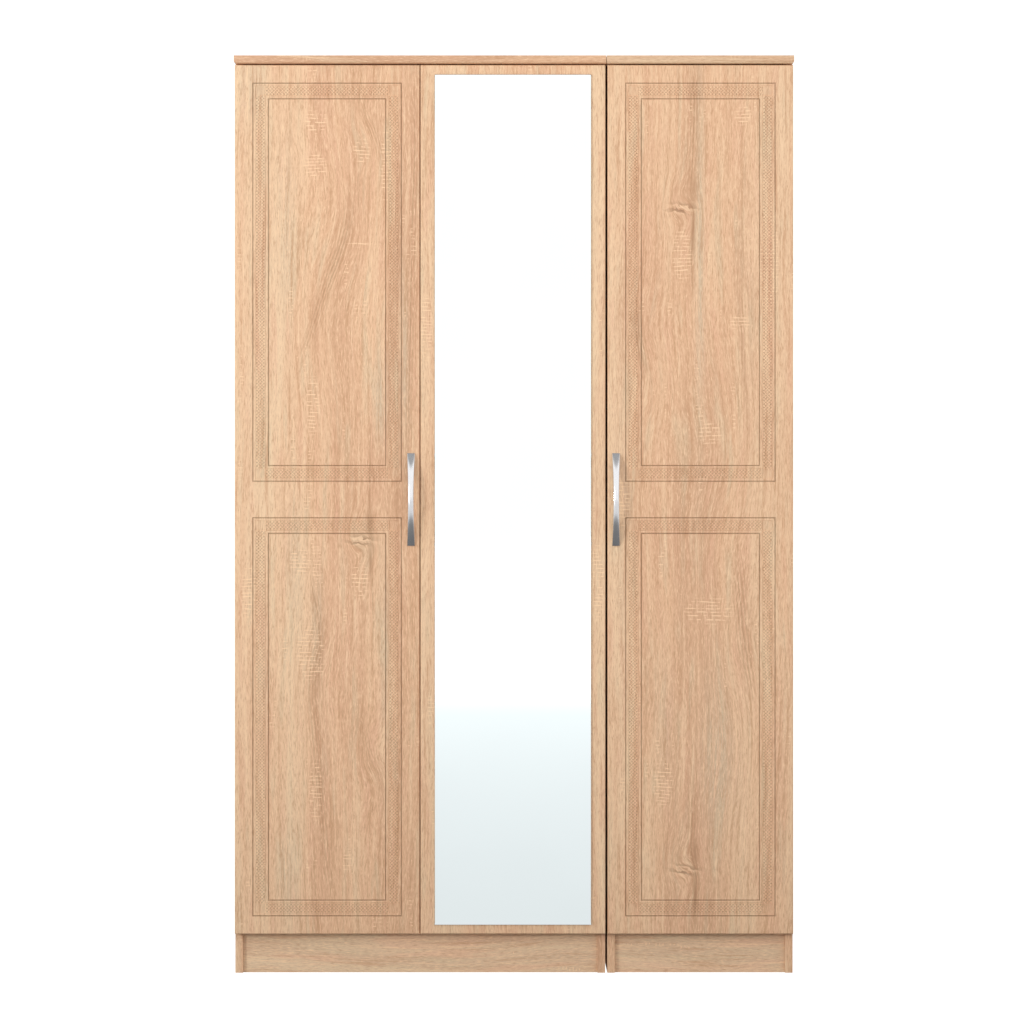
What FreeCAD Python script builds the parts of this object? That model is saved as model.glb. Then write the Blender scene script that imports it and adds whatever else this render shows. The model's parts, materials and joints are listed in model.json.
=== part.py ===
import FreeCAD, Part
import os
import re
import Sketcher
from FreeCAD import Placement, Rotation, Vector

# A wardrobe with three doors: a double cabinet on the left and a single cabinet on the right,
# standing side by side. +X is the viewer's right, -Y the front, +Z up. The origin is on the
# floor, in the middle of everything, handles included. Millimetres.

HINGES_PER_DOOR = 4
NAILS = {"double": 6, "single": 4}
TAPES = 4

SIZES = [
    ("double_width", 737, "top of the double cabinet, along X"),
    ("single_width", 371, "top of the single cabinet, along X"),
    ("top_gap", 1, "between the two tops"),
    ("height", 1818, "floor to the upper face of the tops"),
    ("depth", 530, "front edge of the tops to the rear edges"),
    ("top_thick", 16, "tops"),
    ("top_lip", 4, "the tops' front edge ahead of the door faces"),
    ("top_overhang", 1.5, "each top past the sides it lies on, at both ends"),
    ("top_round", 5.5, "rounding of the tops' lower front and outer edges"),
    ("top_arris", 1.2, "rounding of the tops' upper front and outer edges"),
    ("side_thick", 15, "side panels"),
    ("panel_thick", 15, "bottoms and hat shelves"),
    ("plinth_thick", 15, "plinths"),
    ("plinth_height", 80, "floor to the underside of the bottoms"),
    ("plinth_setback", 8, "plinths behind the sides' front edges"),
    ("back_thick", 3, "hardboard backs"),
    ("back_inset", 10, "rear face of the backs ahead of the rear edges"),
    ("groove_depth", 6, "grooves that hold the backs"),
    ("groove_slack", 0.2, "groove wider than the back"),
    ("back_play", 0.5, "back short of each groove's floor"),
    ("hat_space", 302, "upper face of the hat shelves to the tops' underside"),
    ("shelf_play", 0.5, "shelf short of each side"),
    ("shelf_setback", 20, "shelves behind the carcass front"),
    ("rail_drop", 35, "shelf underside to the middle of the hanging rail"),
    ("rail_back", 250, "carcass front to the middle of the hanging rail"),
    ("rail_tall", 30, "oval rail, height"),
    ("rail_broad", 15, "oval rail, breadth"),
    ("rail_wall", 1, "oval rail, wall"),
    ("socket_plate", 2.5, "rail socket's base plate"),
    ("socket_half", 24, "socket screws above and below the rail's middle"),
    ("socket_wall", 1.8, "rail socket's cup wall"),
    ("socket_reach", 11, "rail socket's cup, along the rail"),
    ("socket_play", 0.2, "between rail and socket, all round"),
    ("door_thick", 18, "door slabs"),
    ("door_back_gap", 2.5, "door back to carcass front"),
    ("door_top_gap", 2.5, "door's upper edge to the top's underside"),
    ("door_drop", 1, "door's lower edge under the bottom's underside"),
    ("door_middle_gap", 1.5, "between the two doors of the double cabinet"),
    ("door_round", 3, "rounding of the doors' front edges"),
    ("frame_margin", 35, "door edge to the outer groove of a panel"),
    ("groove_width", 2, "decorative grooves"),
    ("groove_cut", 1.2, "decorative grooves, depth"),
    ("strip_width", 3.5, "flat strip between outer groove and lattice band"),
    ("band_width", 20.4, "lattice band"),
    ("band_cut", 0.7, "lattice band, depth"),
    ("bead_width", 5.1, "bead between lattice band and inner groove"),
    ("mirror_side_margin", 28, "door edge to mirror, left and right"),
    ("mirror_end_margin", 19, "door edge to mirror, top and bottom"),
    ("glass_thick", 3.2, "mirror glass"),
    ("glass_bevel", 1, "mirror glass, bevelled front edge"),
    ("tape_thick", 0.8, "mounting tape behind the mirror"),
    ("tape_width", 25, "mounting tape"),
    ("tape_inset", 25, "mounting tape inside the mirror's edges"),
    ("handle_length", 184, "bow handles, end to end"),
    ("handle_rise", 28, "door face to the handle's highest point"),
    ("handle_width", 15.6, "handle at its ends"),
    ("handle_waist", 11, "handle at its middle"),
    ("handle_end", 3, "thickness of the handle's flat ends"),
    ("handle_clear", 22, "finger gap at the handle's middle"),
    ("handle_span", 146, "between the handle's feet"),
    ("handle_inset", 17, "handle's centre line from the door's free edge"),
    ("handle_pitch", 160, "between the handle's two screws"),
    ("handle_soften", 1.2, "rounding of the handle's edges"),
    ("hinge_inset", 110, "first and last hinge from the door's ends"),
    ("cup_diameter", 35, "hinge cup bore"),
    ("cup_rim", 3, "cup bore from the door's outer edge"),
    ("cup_floor", 4.2, "door face to the cup bore's floor"),
    ("cup_base", 0.7, "hinge cup, thickness of its floor"),
    ("cup_wall", 0.8, "hinge cup, wall"),
    ("cup_play", 0.05, "between hinge cup and bore"),
    ("flange_thick", 0.8, "hinge cup's flange on the door back"),
    ("flange_reach", 19, "half the flange's round part"),
    ("flange_half", 31, "half the flange's length"),
    ("cup_screw_in", 9.5, "cup screws past the cup's middle"),
    ("cup_screw_half", 24, "cup screws above and below the cup's middle"),
    ("pin_in", 7, "hinge pin from the door's outer edge"),
    ("pin_back", 7.5, "hinge pin behind the door face"),
    ("pin_diameter", 3, "hinge pin"),
    ("pin_half", 7.5, "half the pin's length"),
    ("pin_play", 0.05, "between pin and arm, all round"),
    ("pin_seat", 0.01, "between pin and cup ears, all round"),
    ("eye_radius", 2.4, "arm's eye round the pin"),
    ("eye_half", 4, "half the arm's width at the hook"),
    ("ear_gap", 0.2, "between the arm's hook and the cup's ears"),
    ("ear_wall", 2.6, "cup ear around the pin"),
    ("hook_thick", 2, "arm's hook across the cup"),
    ("hook_reach", 13.2, "pin to the near face of the hook's rear leg"),
    ("hook_leg", 2.5, "hook's rear leg"),
    ("arm_half", 6, "half the arm's width over the plate"),
    ("arm_sheet", 1.3, "arm's sheet metal"),
    ("arm_start", 1, "arm behind the side's front edge"),
    ("arm_length", 52, "arm along the side"),
    ("plate_thick", 2, "mounting plate"),
    ("plate_half", 24, "half the mounting plate's height"),
    ("plate_width", 14, "mounting plate's cross bar"),
    ("plate_station", 37, "plate screws behind the side's front edge"),
    ("plate_pitch", 32, "between the plate's screws"),
    ("arm_screw_station", 50, "arm screw behind the side's front edge"),
    ("arm_screw_spare", 0.7, "arm screw short of the side's face"),
    ("buffer_diameter", 8, "door buffers"),
    ("buffer_play", 0.1, "buffer short of the carcass"),
    ("buffer_inset", 30, "first buffer from the door's free edge"),
    ("buffer_pitch", 90, "between a double door's buffers"),
    ("buffer_height", 60, "single door's buffers from its ends"),
    ("cam_diameter", 15, "cam locks"),
    ("cam_depth", 12, "cam lock bores"),
    ("cam_play", 0.1, "between cam lock and bore"),
    ("cam_reach", 24, "joint face to the middle of a cam lock"),
    ("fixing_depth", 7.5, "cam face to the bolt's axis"),
    ("bolt_thread", 5, "cam bolt, thread"),
    ("bolt_stem", 5.5, "cam bolt, stem"),
    ("bolt_head", 7, "cam bolt, head"),
    ("bolt_bore", 8, "bore for a cam bolt's stem"),
    ("bolt_depth", 10, "thread of a cam bolt in its panel"),
    ("dowel_diameter", 8, "dowels"),
    ("dowel_length", 30, "dowels"),
    ("dowel_short", 10, "a dowel's end in the side or top"),
    ("dowel_play", 0.05, "between dowel and bore, all round"),
    ("bore_spare", 0.5, "bores deeper than what they hold"),
    ("front_fixing", 50, "front cam bolts behind the carcass front"),
    ("rear_fixing", 70, "rear cam bolts ahead of the rear edges"),
    ("dowel_offset", 32, "dowel beside each cam bolt"),
    ("front_peg", 70, "front shelf pegs behind the carcass front"),
    ("rear_peg", 60, "rear shelf pegs ahead of the backs"),
    ("peg_diameter", 5, "shelf pegs"),
    ("peg_length", 16, "shelf pegs"),
    ("peg_sunk", 8, "shelf peg in the side"),
    ("screw_play", 0.1, "between a screw and its pilot bore, all round"),
    ("wood_screw", 3.5, "small wood screws"),
    ("wood_screw_length", 12, "small wood screws"),
    ("plate_screw", 4, "hinge plate screws"),
    ("plinth_dowel", 28, "plinth dowels above the floor"),
    ("bracket_drop", 8, "plinth brackets below the bottoms"),
    ("bracket_hole", 28, "screw holes above a plinth bracket's lower end"),
    ("bracket_screw_out", 14, "screws from a plinth bracket's corner"),
    ("bracket_leg", 22, "plinth brackets, each leg"),
    ("bracket_height", 40, "plinth brackets"),
    ("bracket_wall", 3, "plinth brackets"),
    ("nail_diameter", 1.5, "back nails"),
    ("nail_length", 20, "back nails"),
    ("nail_head", 4.5, "back nails, head"),
    ("nail_margin", 40, "first and last nail from the sides"),
    ("connector_low", 350, "lower unit connectors above the floor"),
    ("connector_drop", 452, "upper unit connectors under the tops' underside"),
    ("connector_inset", 100, "unit connectors from front and rear edges"),
    ("barrel_diameter", 6, "unit connector sleeve"),
    ("barrel_thread", 4, "unit connector bolt"),
    ("connector_head", 13, "unit connector heads"),
    ("connector_lid", 2, "unit connector heads, thickness"),
    ("connector_short", 4, "sleeve short of the far panel's face"),
    ("spacer_diameter", 18, "unit spacers"),
]

NAMES = re.compile(r"\b(" + "|".join(alias for alias, _, _ in SIZES) + r")\b")

# Places that several pieces share, as expressions of the sheet.
REAR = "((depth + handle_rise - top_lip) / 2)"
DOOR_FACE = f"({REAR} - depth + top_lip)"
DOOR_BACK = f"({DOOR_FACE} + door_thick)"
CARCASS_FRONT = f"({DOOR_BACK} + door_back_gap)"
TOP_FRONT = f"({DOOR_FACE} - top_lip)"
TOP_UNDER = "(height - top_thick)"
BACK_FRONT = f"({REAR} - back_inset - back_thick)"
BOTTOM_AXIS = "(plinth_height + fixing_depth)"
DOOR_LOW = "(plinth_height - door_drop)"
DOOR_HEIGHT = f"({TOP_UNDER} - door_top_gap - {DOOR_LOW})"
DOOR_MIDDLE = f"({DOOR_LOW} + {DOOR_HEIGHT} / 2)"
SHELF_HIGH = f"({TOP_UNDER} - hat_space)"
SHELF_LOW = f"({SHELF_HIGH} - panel_thick)"
RAIL_LEVEL = f"({SHELF_LOW} - rail_drop)"
RAIL_STATION = f"({CARCASS_FRONT} + rail_back)"
UNIT_GAP = "(top_gap + 2 * top_overhang)"
FAR_LEFT = "(-(double_width + top_gap + single_width) / 2)"
DOUBLE_END = f"({FAR_LEFT} + double_width)"
SINGLE_START = f"({DOUBLE_END} + top_gap)"
FAR_RIGHT = f"({SINGLE_START} + single_width)"
FIXINGS = (f"({CARCASS_FRONT} + front_fixing)", f"({REAR} - rear_fixing)")
DOWELS = (f"({FIXINGS[0]} + dowel_offset)", f"({FIXINGS[1]} - dowel_offset)")
PLINTH_FRONT = f"({CARCASS_FRONT} + plinth_setback)"
PLINTH_BACK = f"({PLINTH_FRONT} + plinth_thick)"
CUP_MIDDLE = "(cup_rim + cup_diameter / 2)"
ARM_CROWN = "(pin_in + hook_reach + hook_leg)"

AXES = {
    "+x": Vector(1, 0, 0),
    "-x": Vector(-1, 0, 0),
    "+y": Vector(0, 1, 0),
    "-y": Vector(0, -1, 0),
    "+z": Vector(0, 0, 1),
    "-z": Vector(0, 0, -1),
}

document = FreeCAD.newDocument("wardrobe")
sheet = document.addObject("Spreadsheet::Sheet", "sizes")
parts = []
counts = {}


def fill_sheet():
    """Writes every driving size into the sheet, one row each."""
    for row, (alias, value, note) in enumerate(SIZES, start=1):
        sheet.set(f"A{row}", note)
        sheet.set(f"B{row}", str(value))
        sheet.setAlias(f"B{row}", alias)
    document.recompute()


def cells(text):
    """Puts the sheet's name in front of each size in an expression."""
    return NAMES.sub(r"sizes.\1", text)


def value(text):
    """What an expression of the sheet comes to."""
    return float(sheet.evalExpression(cells(text)))


def bind(item, field, text):
    item.setExpression(field, cells(text))


def bind_place(item, point):
    for letter, text in zip("xyz", point):
        bind(item, f"Placement.Base.{letter}", text)


def fresh(name):
    """A name for a helper object that isn't used yet."""
    counts[name] = counts.get(name, 0) + 1
    return f"{name}_{counts[name]}"


def moved(point, axis, distance):
    """The point shifted along one axis by an expression."""
    shifted = list(point)
    index = "xyz".index(axis[1])
    shifted[index] = f"({point[index]} {axis[0]} ({distance}))"
    return tuple(shifted)


def opposite(axis):
    return ("-" if axis[0] == "+" else "+") + axis[1]


def heading(axis):
    return Rotation(Vector(0, 0, 1), AXES[axis])


def box(low, size):
    solid = document.addObject("Part::Box", fresh("block"))
    for field, text in zip(("Length", "Width", "Height"), size):
        bind(solid, field, text)
    bind_place(solid, low)
    return solid


def span(low, high):
    """A box from its lowest corner to its highest."""
    return box(low, tuple(f"{b} - ({a})" for a, b in zip(low, high)))


def rod(start, axis, length, diameter):
    """A cylinder that starts at a point and runs along an axis."""
    solid = document.addObject("Part::Cylinder", fresh("rod"))
    solid.Placement = Placement(Vector(), heading(axis))
    bind(solid, "Radius", f"({diameter}) / 2")
    bind(solid, "Height", length)
    bind_place(solid, start)
    return solid


def cone(start, axis, length, near, far):
    solid = document.addObject("Part::Cone", fresh("cone"))
    solid.Placement = Placement(Vector(), heading(axis))
    bind(solid, "Radius1", f"({near}) / 2")
    bind(solid, "Radius2", f"({far}) / 2")
    bind(solid, "Height", length)
    bind_place(solid, start)
    return solid


def fuse(*shapes):
    if len(shapes) == 1:
        return shapes[0]
    joined = document.addObject("Part::MultiFuse", fresh("joined"))
    joined.Shapes = list(shapes)
    return joined


def cut(base, *tools):
    result = document.addObject("Part::Cut", fresh("cut"))
    result.Base = base
    result.Tool = fuse(*tools)
    return result


def common(first, second):
    result = document.addObject("Part::Common", fresh("common"))
    result.Base = first
    result.Tool = second
    return result


def mirrored(source):
    """The same piece for a door hinged on its right."""
    result = document.addObject("Part::Mirroring", fresh("mirrored"))
    result.Source = source
    result.Normal = Vector(1, 0, 0)
    return result


def copy(source, point, rotation=Rotation()):
    """A linked copy of a piece that was made at the origin."""
    link = document.addObject("App::Link", fresh("copy"))
    link.setLink(source)
    link.Placement = Placement(Vector(), rotation)
    bind_place(link, point)
    return link


def group(pieces):
    result = document.addObject("Part::Compound", fresh("group"))
    result.Links = pieces
    return result


def finish(name, item):
    """Names a sub-part and puts it on the list of what is written."""
    item.Label = name
    parts.append(item)


# Sketches and bodies

def origin_plane(body, role):
    return next(plane for plane in body.Origin.OriginFeatures if plane.Role == role)


def new_body(place):
    body = document.addObject("PartDesign::Body", fresh("body"))
    bind_place(body, place)
    return body


def sketch_on(body, role, offset="0"):
    """A sketch on one of the body's own planes, lifted along the plane's normal."""
    sketch = body.newObject("Sketcher::SketchObject", fresh("sketch"))
    sketch.AttachmentSupport = [(origin_plane(body, role), "")]
    sketch.MapMode = "FlatFace"
    bind(sketch, "AttachmentOffset.Base.z", offset)
    return sketch


def hold(sketch, kind, *where, size):
    """Adds a dimension to the sketch and binds it to the sheet."""
    index = sketch.addConstraint(Sketcher.Constraint(kind, *where, value(size)))
    name = f"size_{index}"
    sketch.renameConstraint(index, name)
    bind(sketch, f"Constraints.{name}", size)


def rectangle(sketch, left, low, right, high):
    """A rectangle whose corners are expressions, none of them below zero."""
    xs = (value(left), value(right))
    ys = (value(low), value(high))
    corners = [Vector(xs[i], ys[j], 0) for i, j in ((0, 0), (1, 0), (1, 1), (0, 1))]
    first = sketch.GeometryCount
    for start, end in zip(corners, corners[1:] + corners[:1]):
        sketch.addGeometry(Part.LineSegment(start, end), False)
    for side in range(4):
        following = first + (side + 1) % 4
        sketch.addConstraint(Sketcher.Constraint("Coincident", first + side, 2, following, 1))
        kind = "Horizontal" if side % 2 == 0 else "Vertical"
        sketch.addConstraint(Sketcher.Constraint(kind, first + side))
    pin_corner(sketch, first, 1, left, low)
    pin_corner(sketch, first + 2, 1, right, high)


def pin_corner(sketch, line, end, across, up):
    for kind, rule, size in (("DistanceX", "Vertical", across), ("DistanceY", "Horizontal", up)):
        if abs(value(size)) < 1e-9:
            sketch.addConstraint(Sketcher.Constraint(rule, -1, 1, line, end))
        else:
            hold(sketch, kind, -1, 1, line, end, size=size)


def pad(body, sketch, length):
    feature = body.newObject("PartDesign::Pad", fresh("pad"))
    feature.Profile = sketch
    bind(feature, "Length", length)
    document.recompute()
    return feature


def pocket(body, sketch, depth):
    """Cuts below the sketch, and checks that something was cut."""
    before = body.Shape.Volume
    feature = body.newObject("PartDesign::Pocket", fresh("pocket"))
    feature.Profile = sketch
    bind(feature, "Length", depth)
    document.recompute()
    if feature.Shape.Volume > before - 1:
        raise ValueError(f"{feature.Name} cuts nothing")
    return feature


def round_edges(body, feature, radius, chosen):
    """Rounds the edges of a feature that the test picks out."""
    names = [f"Edge{i}" for i, edge in enumerate(feature.Shape.Edges, 1) if chosen(edge.BoundBox)]
    rounding = body.newObject("PartDesign::Fillet", fresh("rounding"))
    rounding.Base = (feature, names)
    bind(rounding, "Radius", radius)
    document.recompute()
    return rounding


# Fasteners, each made once at the origin: the head or the long end points to +Z.

def make_screw(diameter, length, head_diameter, head_height):
    """A cross-headed screw: its seat is at zero, its shank below."""
    shank = rod(("0", "0", f"-({length})"), "+z", length, diameter)
    head = cone(("0", "0", "0"), "+z", head_height, head_diameter, f"0.7 * ({head_diameter})")
    slots = []
    for along, across in (("0.5", "0.12"), ("0.12", "0.5")):
        long_side = f"{along} * ({head_diameter})"
        short_side = f"{across} * ({head_diameter})"
        low = (f"-{long_side} / 2", f"-{short_side} / 2", f"({head_height}) / 2")
        slots.append(box(low, (long_side, short_side, head_height)))
    return cut(fuse(shank, head), *slots)


def make_cam_bolt():
    thread = rod(("0", "0", "-bolt_depth"), "+z", "bolt_depth", "bolt_thread")
    stem = rod(("0", "0", "0"), "+z", "cam_reach", "bolt_stem")
    head = rod(("0", "0", "cam_reach - 3"), "+z", "4.5", "bolt_head")
    return fuse(thread, stem, head)


def make_cam_lock():
    """A cam lock with its face at zero, its body below and its mouth towards +X."""
    tall = "(cam_depth - cam_play)"
    body = rod(("0", "0", f"-{tall}"), "+z", tall, "cam_diameter - 2 * cam_play")
    mouth = rod(("-bolt_bore / 2", "0", "-fixing_depth"), "+x", "cam_diameter", "bolt_bore")
    slots = [
        box(("-4", "-0.6", "-1.5"), ("8", "1.2", "2")),
        box(("-0.6", "-4", "-1.5"), ("1.2", "8", "2")),
    ]
    return cut(body, mouth, *slots)


def make_dowel():
    """A beech dowel that starts its short end below zero, with chamfered ends."""
    width = "(dowel_diameter - 2 * dowel_play)"
    low = cone(("0", "0", "-dowel_short"), "+z", "1", "dowel_diameter - 2", width)
    middle = rod(("0", "0", "1 - dowel_short"), "+z", "dowel_length - 2", width)
    high = cone(("0", "0", "dowel_length - dowel_short - 1"), "+z", "1", width, "dowel_diameter - 2")
    return fuse(low, middle, high)


def make_peg():
    """A shelf peg: a pin in the side, a collar and a resting end."""
    pin = rod(("0", "0", "-peg_sunk"), "+z", "peg_length", "peg_diameter")
    collar = rod(("0", "0", "0"), "+z", "1", "peg_diameter")
    return fuse(pin, collar)


def make_nail():
    shank = rod(("0", "0", "-nail_length"), "+z", "nail_length", "nail_diameter - 2 * screw_play")
    head = cone(("0", "0", "0"), "+z", "0.8", "nail_head", "0.8 * nail_head")
    return fuse(shank, head)


def make_bracket():
    """A plinth bracket in the corner between +X and +Y, with a stiffening web."""
    low = ("0", "0", "0")
    first = box(low, ("bracket_leg", "bracket_wall", "bracket_height"))
    second = box(low, ("bracket_wall", "bracket_leg", "bracket_height"))
    web = box((low[0], low[1], "bracket_height / 2 - 1"), ("bracket_leg / 2", "bracket_leg / 2", "2"))
    height = "bracket_hole"
    hole = "wood_screw + 2 * screw_play"
    holes = [
        rod(("bracket_screw_out", "-1", height), "+y", "bracket_wall + 2", hole),
        rod(("-1", "bracket_screw_out", height), "+x", "bracket_wall + 2", hole),
    ]
    return cut(fuse(first, second, web), *holes)


# Hinge pieces, made for a door hinged on its left. X runs inwards from the door's outer edge,
# Y backwards from the door face and Z up from the hinge's middle.

def make_hinge_cup():
    outer_width = "(cup_diameter - 2 * cup_play)"
    start = (CUP_MIDDLE, "cup_floor", "0")
    depth = "(door_thick + flange_thick - cup_floor)"
    outer = rod(start, "+y", depth, outer_width)
    inside = rod(moved(start, "+y", "cup_base"), "+y", depth, f"{outer_width} - 2 * cup_wall")
    ears = []
    for low, high in (("-pin_half", "-(eye_half + ear_gap)"), ("eye_half + ear_gap", "pin_half")):
        corner = ("0", "cup_floor", low)
        ears.append(span(corner, ("pin_in + ear_wall", "pin_back + ear_wall", high)))
    trimmed = common(rod(start, "+y", depth, outer_width), fuse(*ears))
    disc = rod((CUP_MIDDLE, "door_thick", "0"), "+y", "flange_thick", "2 * flange_reach")
    wing_in = f"({CUP_MIDDLE} + cup_screw_in)"
    wing = span((f"{wing_in} - 6", "door_thick", "-flange_half"),
                (f"{wing_in} + 6", "door_thick + flange_thick", "flange_half"))
    shell = cut(fuse(outer, disc, wing), inside)
    pin_hole = rod(("pin_in", "pin_back", "-pin_half"), "+z", "2 * pin_half", "pin_diameter + 2 * pin_seat")
    holes = [
        rod((wing_in, "door_thick - 1", f"{sign}cup_screw_half"), "+y", "3", "wood_screw + 2 * screw_play")
        for sign in ("-", "")
    ]
    return cut(fuse(shell, trimmed), pin_hole, *holes)


def make_hinge_pin():
    return group([rod(("pin_in", "pin_back", "-pin_half"), "+z", "2 * pin_half", "pin_diameter")])


def make_hinge_arm():
    """The fixed arm: an eye round the pin, a hook out of the cup and a channel over the plate."""
    edge = "(door_thick + door_back_gap)"
    seat = "(side_thick + plate_thick)"
    crown = ARM_CROWN
    eye = rod(("pin_in", "pin_back", "-eye_half"), "+z", "2 * eye_half", "2 * eye_radius")
    across = span(("pin_in", "pin_back - hook_thick / 2", "-eye_half"),
                  (crown, "pin_back + hook_thick / 2", "eye_half"))
    back = span(("pin_in + hook_reach", "pin_back - hook_thick / 2", "-eye_half"),
                (crown, f"{edge} + arm_start + 4", "eye_half"))
    channel = span((seat, f"{edge} + arm_start", "-arm_half"),
                   (crown, f"{edge} + arm_start + arm_length", "arm_half"))
    hollow = span(
        (f"{seat} - 1", f"{edge} + arm_start - 1", "-(arm_half - arm_sheet)"),
        (f"{crown} - arm_sheet", f"{edge} + arm_start + arm_length + 1", "arm_half - arm_sheet"),
    )
    pin_bore = "pin_diameter + 2 * pin_play"
    bore = rod(("pin_in", "pin_back", "-eye_half - 1"), "+z", "2 * eye_half + 2", pin_bore)
    screw_bore = "plate_screw + 2 * screw_play"
    slot = rod((f"{crown} - 4", f"{edge} + arm_screw_station", "0"), "+x", "6", screw_bore)
    return cut(fuse(cut(channel, hollow), eye, across, back), bore, slot)


def make_hinge_plate():
    """The cross-shaped plate on the side's inner face."""
    edge = "(door_thick + door_back_gap)"
    seat = "(side_thick + plate_thick)"
    middle = f"({edge} + plate_station)"
    cross = span(("side_thick", f"{middle} - plate_width / 2", "-plate_half"),
                 (seat, f"{middle} + plate_width / 2", "plate_half"))
    spine = span(("side_thick", f"{edge} + arm_start + 3", "-(arm_half - arm_sheet)"),
                 (seat, f"{edge} + arm_start + arm_length + 4", "arm_half - arm_sheet"))
    bed = span(("side_thick", f"{edge} + arm_start + 3", "-arm_half - 1"),
               (seat, f"{edge} + arm_start + arm_length", "arm_half + 1"))
    holes = [
        rod(("side_thick - 1", middle, f"{sign}plate_pitch / 2"), "+x", "plate_thick + 2",
            "plate_screw + 2 * screw_play")
        for sign in ("-", "")
    ]
    thread = rod(("side_thick - 1", f"{edge} + arm_screw_station", "0"), "+x", "plate_thick + 2",
                 "plate_screw + 2 * screw_play")
    return cut(fuse(cross, spine, bed), thread, *holes)


# Cabinets

class Unit:
    """One cabinet: where its top and its sides stand."""

    def __init__(self, name, left, right, round_left):
        self.name = name
        self.left = left
        self.right = right
        self.round_left = round_left
        self.low = f"({left} + top_overhang)"
        self.high = f"({right} - top_overhang)"
        self.inner_low = f"({self.low} + side_thick)"
        self.inner_high = f"({self.high} - side_thick)"
        # each side: its name, its inner face, and the way from that face into the panel
        self.sides = (("left", self.inner_low, "-x"), ("right", self.inner_high, "+x"))


UNITS = (
    Unit("double", FAR_LEFT, DOUBLE_END, True),
    Unit("single", SINGLE_START, FAR_RIGHT, False),
)


class Door:
    """One door: its cabinet, its edges and the side it is hinged on."""

    def __init__(self, name, unit, low, high, hinged):
        self.name = name
        self.unit = unit
        self.low = low
        self.high = high
        self.hinged = hinged
        self.outer = low if hinged == "left" else high
        self.free = high if hinged == "left" else low
        self.inward = "+x" if hinged == "left" else "-x"


HALF = f"(({UNITS[0].high} - {UNITS[0].low} - door_middle_gap) / 2)"
DOORS = (
    Door("left", "double", UNITS[0].low, f"({UNITS[0].low} + {HALF})", "left"),
    Door("mirror", "double", f"({UNITS[0].high} - {HALF})", UNITS[0].high, "right"),
    Door("right", "single", UNITS[1].low, UNITS[1].high, "right"),
)
HINGED_SIDES = {(door.unit, door.hinged) for door in DOORS}
HINGE_LEVELS = [
    f"({DOOR_LOW} + hinge_inset + {i} * ({DOOR_HEIGHT} - 2 * hinge_inset) / {HINGES_PER_DOOR - 1})"
    for i in range(HINGES_PER_DOOR)
]
PEG_STATIONS = (f"({CARCASS_FRONT} + front_peg)", f"({BACK_FRONT} - rear_peg)")
PEG_LEVEL = f"({SHELF_LOW} - peg_diameter / 2)"
SOCKET_SCREWS = (f"({RAIL_LEVEL} - socket_half)", f"({RAIL_LEVEL} + socket_half)")
CONNECTORS = [
    (station, level)
    for station in (f"({CARCASS_FRONT} + connector_inset)", f"({REAR} - connector_inset)")
    for level in ("connector_low", f"({TOP_UNDER} - connector_drop)")
]
PLINTH_DOWEL = (f"({PLINTH_FRONT} + plinth_thick / 2)", "plinth_dowel")
BRACKET_LOW = "(plinth_height - bracket_drop - bracket_height)"
BRACKET_HOLE = f"({BRACKET_LOW} + bracket_hole)"
SCREW_BORE = "wood_screw + 2 * screw_play"
DOWEL_BORE = "dowel_diameter"
LONG_BORE = "dowel_length - dowel_short + bore_spare"


def side_bores(unit, side, face, into):
    """Every bore of a side panel, most of them drilled from its inner face."""
    bores = []
    edge = moved((face, "0", TOP_UNDER), into, "fixing_depth")
    for station in FIXINGS:
        bores.append(rod((face, station, BOTTOM_AXIS), into, "bolt_depth + bore_spare", "bolt_thread"))
        bores.append(rod((edge[0], station, TOP_UNDER), "-z", "cam_reach", "bolt_bore"))
        bores.append(rod((face, station, f"({TOP_UNDER} - cam_reach)"), into, "cam_depth", "cam_diameter"))
    for station in DOWELS:
        bores.append(rod((face, station, BOTTOM_AXIS), into, "dowel_short + bore_spare", DOWEL_BORE))
        bores.append(rod((edge[0], station, TOP_UNDER), "-z", LONG_BORE, DOWEL_BORE))
    for station in PEG_STATIONS:
        bores.append(rod((face, station, PEG_LEVEL), into, "peg_sunk + bore_spare", "peg_diameter"))
    for level in SOCKET_SCREWS:
        bores.append(rod((face, RAIL_STATION, level), into, "wood_screw_length", SCREW_BORE))
    bores.append(rod((face, *PLINTH_DOWEL), into, "dowel_short + bore_spare", DOWEL_BORE))
    bracket = f"({PLINTH_BACK} + bracket_screw_out)"
    bores.append(rod((face, bracket, BRACKET_HOLE), into, "wood_screw_length", SCREW_BORE))
    if (unit.name, side) in HINGED_SIDES:
        station = f"({CARCASS_FRONT} + plate_station)"
        for level in HINGE_LEVELS:
            for sign in "+-":
                point = (face, station, f"({level} {sign} plate_pitch / 2)")
                bores.append(rod(point, into, "wood_screw_length", "plate_screw + 2 * screw_play"))
    if (unit.name, side) in (("double", "right"), ("single", "left")):
        for station, level in CONNECTORS:
            bores.append(rod((face, station, level), into, "side_thick + 1", "barrel_diameter + 0.2"))
    return bores


def make_sides(unit):
    for side, face, into in unit.sides:
        low = unit.low if side == "left" else face
        high = face if side == "left" else unit.high
        slab = span((low, CARCASS_FRONT, "0"), (high, REAR, TOP_UNDER))
        groove_low = f"({face} - groove_depth)" if side == "left" else face
        groove = box((groove_low, f"({BACK_FRONT} - groove_slack / 2)", "0"),
                     ("groove_depth", "back_thick + groove_slack", TOP_UNDER))
        finish(f"{unit.name}_side_{side}", cut(slab, groove, *side_bores(unit, side, face, into)))


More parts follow.
